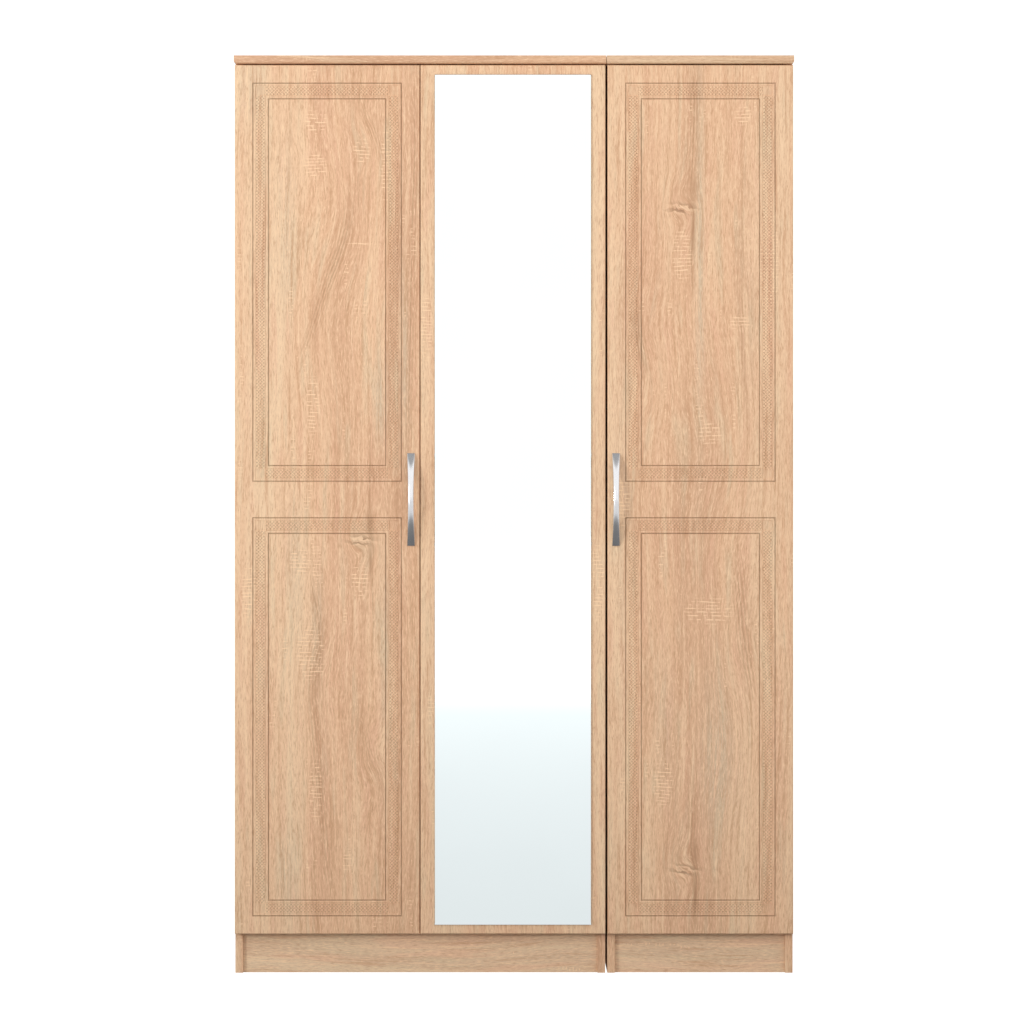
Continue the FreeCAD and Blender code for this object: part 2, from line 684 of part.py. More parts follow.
def make_bottom(unit):
    low = (unit.inner_low, CARCASS_FRONT, "plinth_height")
    high = (unit.inner_high, BACK_FRONT, "plinth_height + panel_thick")
    bores = []
    for _, face, into in unit.sides:
        inward = opposite(into)
        for station in FIXINGS:
            start = (face, station, BOTTOM_AXIS)
            under = moved((face, station, "plinth_height"), inward, "cam_reach")
            bores.append(rod(start, inward, "cam_reach", "bolt_bore"))
            bores.append(rod(under, "+z", "cam_depth", "cam_diameter"))
        for station in DOWELS:
            bores.append(rod((face, station, BOTTOM_AXIS), inward, LONG_BORE, DOWEL_BORE))
    for place in nail_places(unit):
        bores.append(rod(place, "-y", "nail_length", "nail_diameter"))
    finish(f"{unit.name}_bottom", cut(span(low, high), *bores))


def nail_places(unit):
    """Where the back's nails enter the bottom's rear edge."""
    last = NAILS[unit.name] - 1
    run = f"({unit.inner_high} - {unit.inner_low} - 2 * nail_margin)"
    level = "(plinth_height + panel_thick / 2)"
    return [
        (f"({unit.inner_low} + nail_margin + {i} * {run} / {last})", BACK_FRONT, level)
        for i in range(last + 1)
    ]


def make_top(unit):
    """A top with its lower front and outer edges rounded, grooved for the back."""
    width = f"({unit.right} - {unit.left})"
    body = new_body((unit.left, TOP_FRONT, TOP_UNDER))
    outline = sketch_on(body, "XY_Plane")
    rectangle(outline, "0", "0", width, "depth")
    slab = pad(body, outline, "top_thick")
    outer = 0 if unit.round_left else value(width)
    thick = value("top_thick")

    def exposed(level):
        def chosen(bounds):
            if abs(bounds.ZMin - level) > 1e-6 or bounds.ZLength > 1e-6:
                return False
            along_front = bounds.YMax < 1e-6
            at_end = bounds.XLength < 1e-6 and abs(bounds.XMin - outer) < 1e-6
            return along_front or at_end
        return chosen

    lower = round_edges(body, slab, "top_round", exposed(0))
    upper_edges = exposed(thick)
    body.Tip = round_edges(body, lower, "top_arris", upper_edges)
    bores = []
    for _, face, into in unit.sides:
        x = moved((face, "0", "0"), into, "fixing_depth")[0]
        for station in FIXINGS:
            bores.append(rod((x, station, TOP_UNDER), "+z", "bolt_depth + bore_spare", "bolt_thread"))
        for station in DOWELS:
            bores.append(rod((x, station, TOP_UNDER), "+z", "dowel_short + bore_spare", DOWEL_BORE))
    groove = span((f"({unit.inner_low} - groove_depth)", f"({BACK_FRONT} - groove_slack / 2)", TOP_UNDER),
                  (f"({unit.inner_high} + groove_depth)", f"({BACK_FRONT} + back_thick + groove_slack / 2)",
                   f"({TOP_UNDER} + groove_depth)"))
    finish(f"{unit.name}_top", cut(body, groove, *bores))


def make_back(unit):
    reach = "(groove_depth - back_play)"
    low = (f"({unit.inner_low} - {reach})", BACK_FRONT, "plinth_height")
    high = (f"({unit.inner_high} + {reach})", f"({BACK_FRONT} + back_thick)", f"({TOP_UNDER} + {reach})")
    holes = [
        rod(moved(place, "-y", "1"), "+y", "back_thick + 2", "nail_diameter")
        for place in nail_places(unit)
    ]
    finish(f"{unit.name}_back", cut(span(low, high), *holes))


def make_plinth(unit):
    low = (unit.inner_low, PLINTH_FRONT, "0")
    high = (unit.inner_high, PLINTH_BACK, "plinth_height")
    bores = []
    for _, face, into in unit.sides:
        inward = opposite(into)
        bores.append(rod((face, *PLINTH_DOWEL), inward, LONG_BORE, DOWEL_BORE))
        screw = moved((face, PLINTH_BACK, BRACKET_HOLE), inward, "bracket_screw_out")
        bores.append(rod(screw, "-y", "wood_screw_length", SCREW_BORE))
    finish(f"{unit.name}_plinth", cut(span(low, high), *bores))


def make_shelf(unit):
    low = (f"({unit.inner_low} + shelf_play)", f"({CARCASS_FRONT} + shelf_setback)", SHELF_LOW)
    high = (f"({unit.inner_high} - shelf_play)", f"({BACK_FRONT} - shelf_play)", SHELF_HIGH)
    finish(f"{unit.name}_shelf", span(low, high))


def oval(start, length, broad, tall):
    """A bar of oval section along +X, higher than it is broad."""
    flat = f"(({tall}) - ({broad}))"
    x, y, z = start
    middle = box((x, f"({y} - ({broad}) / 2)", f"({z} - {flat} / 2)"), (length, broad, flat))
    ends = [rod((x, y, f"({z} {sign} {flat} / 2)"), "+x", length, broad) for sign in "+-"]
    return fuse(middle, *ends)


def make_rail(unit):
    start = (f"({unit.inner_low} + socket_plate + socket_play)", RAIL_STATION, RAIL_LEVEL)
    length = f"({unit.inner_high} - {unit.inner_low} - 2 * (socket_plate + socket_play))"
    outer = oval(start, length, "rail_broad", "rail_tall")
    inner = oval(moved(start, "-x", "1"), f"{length} + 2", "rail_broad - 2 * rail_wall",
                 "rail_tall - 2 * rail_wall")
    finish(f"{unit.name}_rail", cut(outer, inner))


def make_sockets(unit):
    """Two sockets, open at the top so that the rail drops in."""
    sockets = []
    gap = "(rail_broad + 2 * socket_play)"
    drop = "(rail_tall / 2 - rail_broad / 2)"
    for _, face, into in unit.sides:
        inward = opposite(into)
        at = (face, RAIL_STATION, RAIL_LEVEL)
        plate = fuse(
            rod(moved(at, "-z", "socket_half"), inward, "socket_plate", "rail_broad"),
            rod(moved(at, "+z", "socket_half"), inward, "socket_plate", "rail_broad"),
            slab_along(moved(at, "-z", "socket_half"), inward,
                       "socket_plate", "rail_broad", "2 * socket_half"),
        )
        floor = moved(at, "-z", drop)
        reach = "(socket_plate + socket_reach)"
        wide = f"({gap} + 2 * socket_wall)"
        cup = fuse(rod(floor, inward, reach, wide),
                   slab_along(floor, inward, reach, wide, f"{drop} + rail_tall / 2"))
        base = moved(floor, inward, "socket_plate")
        mouth = fuse(rod(base, inward, "socket_reach + 1", gap),
                     slab_along(base, inward, "socket_reach + 1", gap, "rail_tall"))
        holes = [
            rod(moved((face, RAIL_STATION, level), into, "1"), inward, "socket_plate + 2", SCREW_BORE)
            for level in SOCKET_SCREWS
        ]
        sockets.append(cut(fuse(plate, cup), mouth, *holes))
    finish(f"{unit.name}_rail_sockets", group(sockets))


def slab_along(start, axis, length, broad, tall):
    """A box that runs along X from a point on its lower middle line."""
    x, y, z = start
    low_x = x if axis == "+x" else f"({x} - ({length}))"
    return box((low_x, f"({y} - ({broad}) / 2)", z), (length, broad, tall))


# Doors and what they carry

def door_body(door):
    """A slab with rounded front edges, drawn from its lower left rear corner."""
    width = f"({door.high} - {door.low})"
    body = new_body((door.low, DOOR_BACK, DOOR_LOW))
    outline = sketch_on(body, "XZ_Plane")
    rectangle(outline, "0", "0", width, DOOR_HEIGHT)
    slab = pad(body, outline, "door_thick")
    front = -value("door_thick")
    body.Tip = round_edges(body, slab, "door_round", lambda bounds: bounds.YMax < front + 1e-6)
    return body, width


def cut_frames(body, width):
    """Two decorative frames on the door face, one above the other."""
    half = f"({DOOR_HEIGHT} / 2)"
    inner = "strip_width + groove_width"
    rings = [
        ("frame_margin", "groove_width", "groove_cut"),
        (f"frame_margin + {inner}", "band_width", "band_cut"),
        (f"frame_margin + {inner} + band_width + bead_width", "groove_width", "groove_cut"),
    ]
    for margin, width_of_ring, depth in rings:
        sketch = sketch_on(body, "XZ_Plane", "door_thick")
        for base in ("0", half):
            for inset in (margin, f"{margin} + {width_of_ring}"):
                rectangle(sketch, inset, f"{base} + {inset}",
                          f"{width} - ({inset})", f"{base} + {half} - ({inset})")
        body.Tip = pocket(body, sketch, depth)


def door_bores(door):
    bores = []
    cup = moved((door.outer, DOOR_BACK, "0"), door.inward, CUP_MIDDLE)[0]
    screw = moved((door.outer, DOOR_BACK, "0"), door.inward, f"{CUP_MIDDLE} + cup_screw_in")[0]
    for level in HINGE_LEVELS:
        bores.append(rod((cup, DOOR_BACK, level), "-y", "door_thick - cup_floor", "cup_diameter"))
        for sign in "+-":
            point = (screw, DOOR_BACK, f"({level} {sign} cup_screw_half)")
            bores.append(rod(point, "-y", "wood_screw_length", SCREW_BORE))
    if door.name != "mirror":
        wide = "plate_screw + 2 * screw_play"
        for point in handle_screw_places(door):
            bores.append(rod(moved(point, "+y", "1"), "-y", "door_thick + 2", wide))
    return bores


def handle_middle(door):
    return moved((door.free, DOOR_BACK, DOOR_MIDDLE), opposite(door.inward), "handle_inset")


def handle_screw_places(door):
    middle = handle_middle(door)
    return [moved(middle, axis, "handle_pitch / 2") for axis in ("+z", "-z")]


def make_door(door):
    body, width = door_body(door)
    if door.name != "mirror":
        cut_frames(body, width)
    finish(f"{door.name}_door", cut(body, *door_bores(door)))


def bow_profile(sketch):
    """The bow seen from the side: two arcs, flat feet and blunt ends. X is up, Y is out."""
    half = value("handle_length") / 2
    foot = value("handle_span") / 2
    end = value("handle_end")
    rise = value("handle_rise")
    clear = value("handle_clear")
    points = [Vector(-half, 0, 0), Vector(-foot, 0, 0), Vector(foot, 0, 0), Vector(half, 0, 0),
              Vector(half, end, 0), Vector(-half, end, 0)]
    inner = Part.Arc(points[1], Vector(0, clear, 0), points[2])
    outer = Part.Arc(points[4], Vector(0, rise, 0), points[5])
    lines = [Part.LineSegment(points[0], points[1]), inner, Part.LineSegment(points[2], points[3]),
             Part.LineSegment(points[3], points[4]), outer, Part.LineSegment(points[5], points[0])]
    sketch.addGeometry(lines, False)
    # the arcs run anticlockwise, so the inner one ends where the first line does
    joints = [(0, 2, 1, 2), (1, 1, 2, 1), (2, 2, 3, 1), (3, 2, 4, 1), (4, 2, 5, 1), (5, 2, 0, 1)]
    for first, first_end, second, second_end in joints:
        sketch.addConstraint(Sketcher.Constraint("Coincident", first, first_end, second, second_end))
    for end_point in (1, 2):
        sketch.addConstraint(Sketcher.Constraint("PointOnObject", 0, end_point, -1))
    sketch.addConstraint(Sketcher.Constraint("Vertical", 3))
    sketch.addConstraint(Sketcher.Constraint("Symmetric", 0, 1, 2, 2, -2))
    sketch.addConstraint(Sketcher.Constraint("Symmetric", 0, 2, 2, 1, -2))
    sketch.addConstraint(Sketcher.Constraint("Symmetric", 3, 2, 5, 1, -2))
    hold(sketch, "DistanceX", -1, 1, 2, 2, size="handle_length / 2")
    hold(sketch, "DistanceX", -1, 1, 2, 1, size="handle_span / 2")
    hold(sketch, "DistanceY", 3, 1, 3, 2, size="handle_end")
    bulge = "(handle_rise - handle_end)"
    hold(sketch, "Radius", 4, size=f"((handle_length / 2)^2 + {bulge}^2) / (2 * {bulge})")
    hold(sketch, "Radius", 1, size="((handle_span / 2)^2 + handle_clear^2) / (2 * handle_clear)")


def waist_profile(sketch):
    """The two slivers cut from the bow's flanks, so that it is narrowest in the middle."""
    half = value("handle_length") / 2
    wide = value("handle_width") / 2
    waist = value("handle_waist") / 2
    for index, sign in enumerate((1, -1)):
        ends = (Vector(-half, sign * wide, 0), Vector(half, sign * wide, 0))
        arc = Part.Arc(ends[0], Vector(0, sign * waist, 0), ends[1])
        sketch.addGeometry([arc, Part.LineSegment(*ends)], False)
        arc_index = 2 * index
        line_index = arc_index + 1
        # the upper arc sags, so it runs from left to right; the lower one the other way
        at_left, at_right = (1, 2) if sign == 1 else (2, 1)
        for arc_end, line_end in ((at_left, 1), (at_right, 2)):
            ends = (arc_index, arc_end, line_index, line_end)
            sketch.addConstraint(Sketcher.Constraint("Coincident", *ends))
        sketch.addConstraint(Sketcher.Constraint("Symmetric", line_index, 1, line_index, 2, -2))
        hold(sketch, "DistanceX", -1, 1, line_index, 2, size="handle_length / 2")
        low, high = ((-1, 1), (line_index, 2)) if sign == 1 else ((line_index, 2), (-1, 1))
        hold(sketch, "DistanceY", *low, *high, size="handle_width / 2")
        sag = "((handle_width - handle_waist) / 2)"
        hold(sketch, "Radius", arc_index, size=f"((handle_length / 2)^2 + {sag}^2) / (2 * {sag})")


def make_handle(door):
    """A bow handle, thin and blunt at its ends, drawn lying along X and stood upright."""
    body = document.addObject("PartDesign::Body", fresh("body"))
    side_view = sketch_on(body, "XY_Plane", "-handle_width / 2")
    bow_profile(side_view)
    pad(body, side_view, "handle_width")
    front_view = sketch_on(body, "XZ_Plane")
    waist_profile(front_view)
    before = body.Shape.Volume
    flanks = body.newObject("PartDesign::Pocket", fresh("pocket"))
    flanks.Profile = front_view
    flanks.Type = "ThroughAll"
    flanks.Midplane = True
    document.recompute()
    if flanks.Shape.Volume > before - 1 or not flanks.Shape.isValid():
        raise ValueError("the handle's flanks weren't cut")
    crest = value("handle_rise")
    body.Tip = round_edges(body, flanks, "handle_soften", lambda bounds: abs(bounds.YMax - crest) < 1e-3)
    upright = Rotation(Vector(0, 0, 1), Vector(0, -1, 0), Vector(1, 0, 0), "XYZ")
    place = moved(handle_middle(door), "-y", "door_thick")
    body.Placement = Placement(Vector(), upright)
    bind_place(body, place)
    holes = [
        rod(moved(point, "-y", "door_thick - 1"), "-y", "1 + 6.5", "plate_screw + 2 * screw_play")
        for point in handle_screw_places(door)
    ]
    finish(f"{door.name}_handle", cut(body, *holes))


def make_mirror(door):
    left = f"({door.low} + mirror_side_margin)"
    low = f"({DOOR_LOW} + mirror_end_margin)"
    wide = f"({door.high} - {door.low} - 2 * mirror_side_margin)"
    tall = f"({DOOR_HEIGHT} - 2 * mirror_end_margin)"
    body = new_body((left, f"({DOOR_FACE} - tape_thick)", low))
    outline = sketch_on(body, "XZ_Plane")
    rectangle(outline, "0", "0", wide, tall)
    sheet_of_glass = pad(body, outline, "glass_thick")
    front = -value("glass_thick")
    names = [
        f"Edge{i}" for i, edge in enumerate(sheet_of_glass.Shape.Edges, 1)
        if edge.BoundBox.YMax < front + 1e-6
    ]
    bevel = body.newObject("PartDesign::Chamfer", fresh("bevel"))
    bevel.Base = (sheet_of_glass, names)
    bind(bevel, "Size", "glass_bevel")
    body.Tip = bevel
    finish("mirror_glass", body)
    strips = []
    for i in range(TAPES):
        x = f"({left} + tape_inset + {i} * ({wide} - 2 * tape_inset - tape_width) / {TAPES - 1})"
        corner = (x, f"({DOOR_FACE} - tape_thick)", f"({low} + tape_inset)")
        strips.append(box(corner, ("tape_width", "tape_thick", f"{tall} - 2 * tape_inset")))
    finish("mirror_tape", group(strips))


def make_buffers(door):
    if door.unit == "double":
        level = "(plinth_height + panel_thick / 2)"
        outward = opposite(door.inward)
        places = [
            moved((door.free, DOOR_BACK, level), outward, f"buffer_inset + {i} * buffer_pitch")
            for i in range(2)
        ]
    else:
        x = f"({door.free} + side_thick / 2)"
        places = [
            (x, DOOR_BACK, f"({DOOR_LOW} + buffer_height)"),
            (x, DOOR_BACK, f"({DOOR_LOW} + {DOOR_HEIGHT} - buffer_height)"),
        ]
    pads = []
    for place in places:
        foot = rod(place, "+y", "(door_back_gap - buffer_play) / 2", "buffer_diameter")
        crown = cone(moved(place, "+y", "(door_back_gap - buffer_play) / 2"), "+y",
                     "(door_back_gap - buffer_play) / 2", "buffer_diameter", "buffer_diameter - 2.5")
        pads.append(fuse(foot, crown))
    finish(f"{door.name}_buffers", group(pads))


def make_hinges(door, pieces):
    """Four concealed hinges: cups, pins and screws on the door; arms and plates on the side."""
    for name in ("hinge_cups", "hinge_pins", "hinge_arms", "hinge_plates"):
        source = pieces[name, door.hinged]
        copies = [copy(source, (door.outer, DOOR_FACE, level)) for level in HINGE_LEVELS]
        finish(f"{door.name}_{name}", group(copies))
    screw = moved((door.outer, DOOR_BACK, "0"), door.inward, f"{CUP_MIDDLE} + cup_screw_in")[0]
    screws = []
    for level in HINGE_LEVELS:
        for sign in "+-":
            point = (screw, f"({DOOR_BACK} + flange_thick)", f"({level} {sign} cup_screw_half)")
            screws.append(copy(pieces["cup_screw"], point, heading("+y")))
    finish(f"{door.name}_cup_screws", group(screws))


# Fasteners of the cabinets

def make_carcass_fasteners(pieces):
    bolts = []
    locks = []
    dowels = []
    pegs = []
    nails = []
    brackets = []
    bracket_screws = []
    socket_screws = []
    for unit in UNITS:
        for side, face, into in unit.sides:
            inward = opposite(into)
            edge_x = moved((face, "0", "0"), into, "fixing_depth")[0]
            for station in FIXINGS:
                bolts.append(copy(pieces["cam_bolt"], (face, station, BOTTOM_AXIS), heading(inward)))
                bolts.append(copy(pieces["cam_bolt"], (edge_x, station, TOP_UNDER), heading("-z")))
                under = moved((face, station, "plinth_height"), inward, "cam_reach")
                locks.append(copy(pieces["cam_lock"], under, frame_turn("-z", into)))
                level = f"({TOP_UNDER} - cam_reach)"
                locks.append(copy(pieces["cam_lock"], (face, station, level), frame_turn(inward, "+z")))
            for station in DOWELS:
                dowels.append(copy(pieces["dowel"], (face, station, BOTTOM_AXIS), heading(inward)))
                dowels.append(copy(pieces["dowel"], (edge_x, station, TOP_UNDER), heading("-z")))
            dowels.append(copy(pieces["dowel"], (face, *PLINTH_DOWEL), heading(inward)))
            for station in PEG_STATIONS:
                pegs.append(copy(pieces["peg"], (face, station, PEG_LEVEL), heading(inward)))
            for level in SOCKET_SCREWS:
                point = moved((face, RAIL_STATION, level), inward, "socket_plate")
                socket_screws.append(copy(pieces["wood_screw"], point, heading(inward)))
            bracket = (face, PLINTH_BACK, BRACKET_LOW)
            source = pieces["bracket"] if side == "left" else pieces["bracket_mirrored"]
            brackets.append(copy(source, bracket))
            reach = "bracket_screw_out"
            into_side = moved((face, f"({PLINTH_BACK} + {reach})", BRACKET_HOLE), inward, "bracket_wall")
            bracket_screws.append(copy(pieces["wood_screw"], into_side, heading(inward)))
            into_plinth = moved((face, f"({PLINTH_BACK} + bracket_wall)", BRACKET_HOLE), inward, reach)
            bracket_screws.append(copy(pieces["wood_screw"], into_plinth, heading("+y")))
        for place in nail_places(unit):
            nails.append(copy(pieces["nail"], moved(place, "+y", "back_thick"), heading("+y")))
    finish("cam_bolts", group(bolts))
    finish("cam_locks", group(locks))
    finish("dowels", group(dowels))
    finish("shelf_pegs", group(pegs))
    finish("back_nails", group(nails))
    finish("plinth_brackets", group(brackets))
    finish("plinth_bracket_screws", group(bracket_screws))
    finish("rail_socket_screws", group(socket_screws))


def frame_turn(up, mouth):
    """Turns a cam lock so that its face looks one way and its mouth another."""
    return Rotation(AXES[mouth], Vector(0, 0, 0), AXES[up], "ZXY")


def make_hinge_fasteners(pieces):
    plate_screws = []
    arm_screws = []
    for door in DOORS:
        plate_top = moved((door.outer, "0", "0"), door.inward, "side_thick + plate_thick")[0]
        crown = moved((door.outer, "0", "0"), door.inward, ARM_CROWN)[0]
        for level in HINGE_LEVELS:
            for sign in "+-":
                screw_level = f"({level} {sign} plate_pitch / 2)"
                point = (plate_top, f"({CARCASS_FRONT} + plate_station)", screw_level)
                plate_screws.append(copy(pieces["plate_screw"], point, heading(door.inward)))
            point = (crown, f"({CARCASS_FRONT} + arm_screw_station)", level)
            arm_screws.append(copy(pieces["arm_screw"], point, heading(door.inward)))
    finish("hinge_plate_screws", group(plate_screws))
    finish("hinge_arm_screws", group(arm_screws))


def make_handle_screws(door, screw):
    copies = [copy(screw, point, heading("+y")) for point in handle_screw_places(door)]
    finish(f"{door.name}_handle_screws", group(copies))


def make_unit_connectors():
    """Sleeves and bolts through the two facing sides, with a spacer in the gap between them."""
    double, single = UNITS
    sleeves = []
    bolts = []
    spacers = []
    stack = f"(2 * side_thick + {UNIT_GAP})"
    reach = f"({stack} - connector_short)"
    for station, level in CONNECTORS:
        near = (double.inner_high, station, level)
        far = (single.inner_low, station, level)
        barrel = rod(far, "-x", reach, "barrel_diameter")
        lid = cone(far, "+x", "connector_lid", "connector_head", "connector_head - 2")
        thread = rod(moved(far, "-x", reach), "+x", reach, "barrel_thread + 0.1")
        sleeves.append(cut(fuse(barrel, lid), thread))
        shank = rod(near, "+x", reach, "barrel_thread")
        head = cone(near, "-x", "connector_lid", "connector_head", "connector_head - 2")
        slot_low = (f"({near[0]} - connector_lid - 1)", f"({station} - 3)", f"({level} - 0.6)")
        slot = box(slot_low, ("2", "6", "1.2"))
        bolts.append(cut(fuse(shank, head), slot))
        ring = rod((double.high, station, level), "+x", UNIT_GAP, "spacer_diameter")
        hole = rod((f"({double.high} - 1)", station, level), "+x", f"{UNIT_GAP} + 2",
                   "barrel_diameter + 0.2")
        spacers.append(cut(ring, hole))
    finish("unit_connector_sleeves", group(sleeves))
    finish("unit_connector_bolts", group(bolts))
    finish("unit_spacers", group(spacers))


def make_pieces():
    """Every piece that is copied, made once."""
    small_head = "2 * wood_screw"
    arm_screw_length = f"{ARM_CROWN} - side_thick - arm_screw_spare"
    pieces = {
        "cam_bolt": make_cam_bolt(),
        "cam_lock": make_cam_lock(),
        "dowel": make_dowel(),
        "peg": make_peg(),
        "nail": make_nail(),
        "bracket": make_bracket(),
        "wood_screw": make_screw("wood_screw", "wood_screw_length", small_head, "1.8"),
        "cup_screw": make_screw("wood_screw", "wood_screw_length", small_head, "1.5"),
        "plate_screw": make_screw("plate_screw", "wood_screw_length", "8", "2"),
        "arm_screw": make_screw("plate_screw", arm_screw_length, "7", "2"),
    }
    pieces["bracket_mirrored"] = mirrored(pieces["bracket"])
    hinge = {
        "hinge_cups": make_hinge_cup(),
        "hinge_pins": make_hinge_pin(),
        "hinge_arms": make_hinge_arm(),
        "hinge_plates": make_hinge_plate(),
    }
    for name, source in hinge.items():
        pieces[name, "left"] = source
        pieces[name, "right"] = mirrored(source)
    return pieces


def check_and_write():
    """Stops on any failed object or bad shape, then writes one file for each sub-part."""
    document.recompute()
    for item in document.Objects:
        if "Invalid" in item.State or "Error" in item.State:
            raise ValueError(f"{item.Label} failed: {item.State}")
    for item in parts:
        shape = item.Shape
        if shape.isNull() or not shape.isValid() or not shape.Solids:
            raise ValueError(f"{item.Label} has no valid solid")
    os.makedirs("parts", exist_ok=True)
    for item in parts:
        item.Shape.exportStep(f"parts/{item.Label}.step")
    print(len(parts), "sub-parts,", sum(len(item.Shape.Solids) for item in parts), "solids")


fill_sheet()
PIECES = make_pieces()
for cabinet in UNITS:
    make_sides(cabinet)
    make_bottom(cabinet)
    make_top(cabinet)
    make_back(cabinet)
    make_plinth(cabinet)
    make_shelf(cabinet)
    make_rail(cabinet)
    make_sockets(cabinet)
make_carcass_fasteners(PIECES)
make_hinge_fasteners(PIECES)
make_unit_connectors()
handle_screw = make_screw("plate_screw", "door_thick + 6", "8", "2")
for leaf in DOORS:
    make_door(leaf)
    make_hinges(leaf, PIECES)
    make_buffers(leaf)
    if leaf.name == "mirror":
        make_mirror(leaf)
    else:
        make_handle(leaf)
        make_handle_screws(leaf, handle_screw)
check_and_write()
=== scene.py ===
import json
import math

import bmesh
import bpy
from mathutils import Matrix, Vector

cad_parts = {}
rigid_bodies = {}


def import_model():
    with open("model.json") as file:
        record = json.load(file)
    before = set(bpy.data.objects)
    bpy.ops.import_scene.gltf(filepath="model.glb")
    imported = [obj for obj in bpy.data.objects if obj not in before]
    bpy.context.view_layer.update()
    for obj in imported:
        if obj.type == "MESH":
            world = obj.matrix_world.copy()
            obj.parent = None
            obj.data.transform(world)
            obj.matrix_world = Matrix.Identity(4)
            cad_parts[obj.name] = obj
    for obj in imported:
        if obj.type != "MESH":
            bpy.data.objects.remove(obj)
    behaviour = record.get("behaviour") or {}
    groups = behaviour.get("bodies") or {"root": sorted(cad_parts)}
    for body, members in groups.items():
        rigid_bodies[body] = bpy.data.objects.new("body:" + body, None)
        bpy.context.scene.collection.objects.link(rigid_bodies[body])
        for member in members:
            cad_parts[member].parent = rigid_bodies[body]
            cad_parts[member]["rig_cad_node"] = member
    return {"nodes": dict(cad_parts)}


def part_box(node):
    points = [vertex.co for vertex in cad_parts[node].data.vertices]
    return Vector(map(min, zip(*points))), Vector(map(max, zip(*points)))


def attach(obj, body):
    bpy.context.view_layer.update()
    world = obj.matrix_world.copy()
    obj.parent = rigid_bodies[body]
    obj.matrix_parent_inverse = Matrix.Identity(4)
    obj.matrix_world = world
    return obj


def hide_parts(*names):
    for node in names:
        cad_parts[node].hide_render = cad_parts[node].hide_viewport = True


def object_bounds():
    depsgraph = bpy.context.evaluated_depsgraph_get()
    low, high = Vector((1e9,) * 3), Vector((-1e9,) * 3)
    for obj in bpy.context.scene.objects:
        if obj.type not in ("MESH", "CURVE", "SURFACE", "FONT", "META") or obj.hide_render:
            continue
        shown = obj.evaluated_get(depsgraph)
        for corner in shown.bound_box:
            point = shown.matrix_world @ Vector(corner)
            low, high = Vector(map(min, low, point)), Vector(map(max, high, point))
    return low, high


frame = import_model()
CAD_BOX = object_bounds()

bl_info = {
    "name": "Sawn oak wardrobe",
    "version": (1, 0, 0),
    "blender": (4, 5, 0),
    "location": "3D View > Sidebar > Wardrobe",
    "description": "Dresses the wardrobe's frame with its doors, handles, finishes and studio",
    "category": "Object",
}

MM = 0.001

FRAMED_DOORS = {"left_door": "left_leaf", "right_door": "right_leaf"}
HANDLES = {"left_handle": "left_leaf", "right_handle": "right_leaf"}
CABINETS = ("double", "single")

# Points closer than this are one point, and faces smaller than this are slivers.
TOUCHING = 1e-6
SLIVER_AREA = 1e-9

HINGE_BORE_RADIUS = 17.5 * MM

# The framed doors' material slots after the plain oak, and the fine steps of their profile. The groove slot
# holds oak darkened as painted shade in the V grooves; the band slot holds oak a little darker as painted
# shade in the sunken band and its quirk.
GROOVE_SHADE_OAK = 1
BAND_SHADE_OAK = 2
BAND_WALL = 0.3 * MM
LATTICE_LAP = 0.15 * MM
QUIRK_WIDTH = 0.9 * MM
QUIRK_DEPTH = 0.3 * MM
BEAD_RISE = 0.6 * MM
BEAD_FLATS = (0.3 * MM, 0.4 * MM)

# Eased edges, the thickness of a handle's tip and half the length of the opening under its bow.
CORNER_EASING = 0.8 * MM
HANDLE_EASING = 0.7 * MM
HANDLE_TIP = 3 * MM
HANDLE_FOOT = 73 * MM

# Strengths of the studio's light; sizes and distances in metres, the lens in millimetres.
STUDIO_LIGHT = 1.17
SIDE_DIMMING = 0.72
OVERHEAD_DIMMING = 0.38
FLOOR_LIGHT = 1.24
FLOOR_HALF = 150
NEAR_REACH = 1.8
GLOSSY_REACH = 2.5
WHITE = 1.2
KEY_WIDTH = 0.9
KEY_WATTS = 100
CAMERA_DISTANCE = 7.5
CAMERA_HEIGHT = 0.9106
CAMERA_LENS = 132.7


# Settings

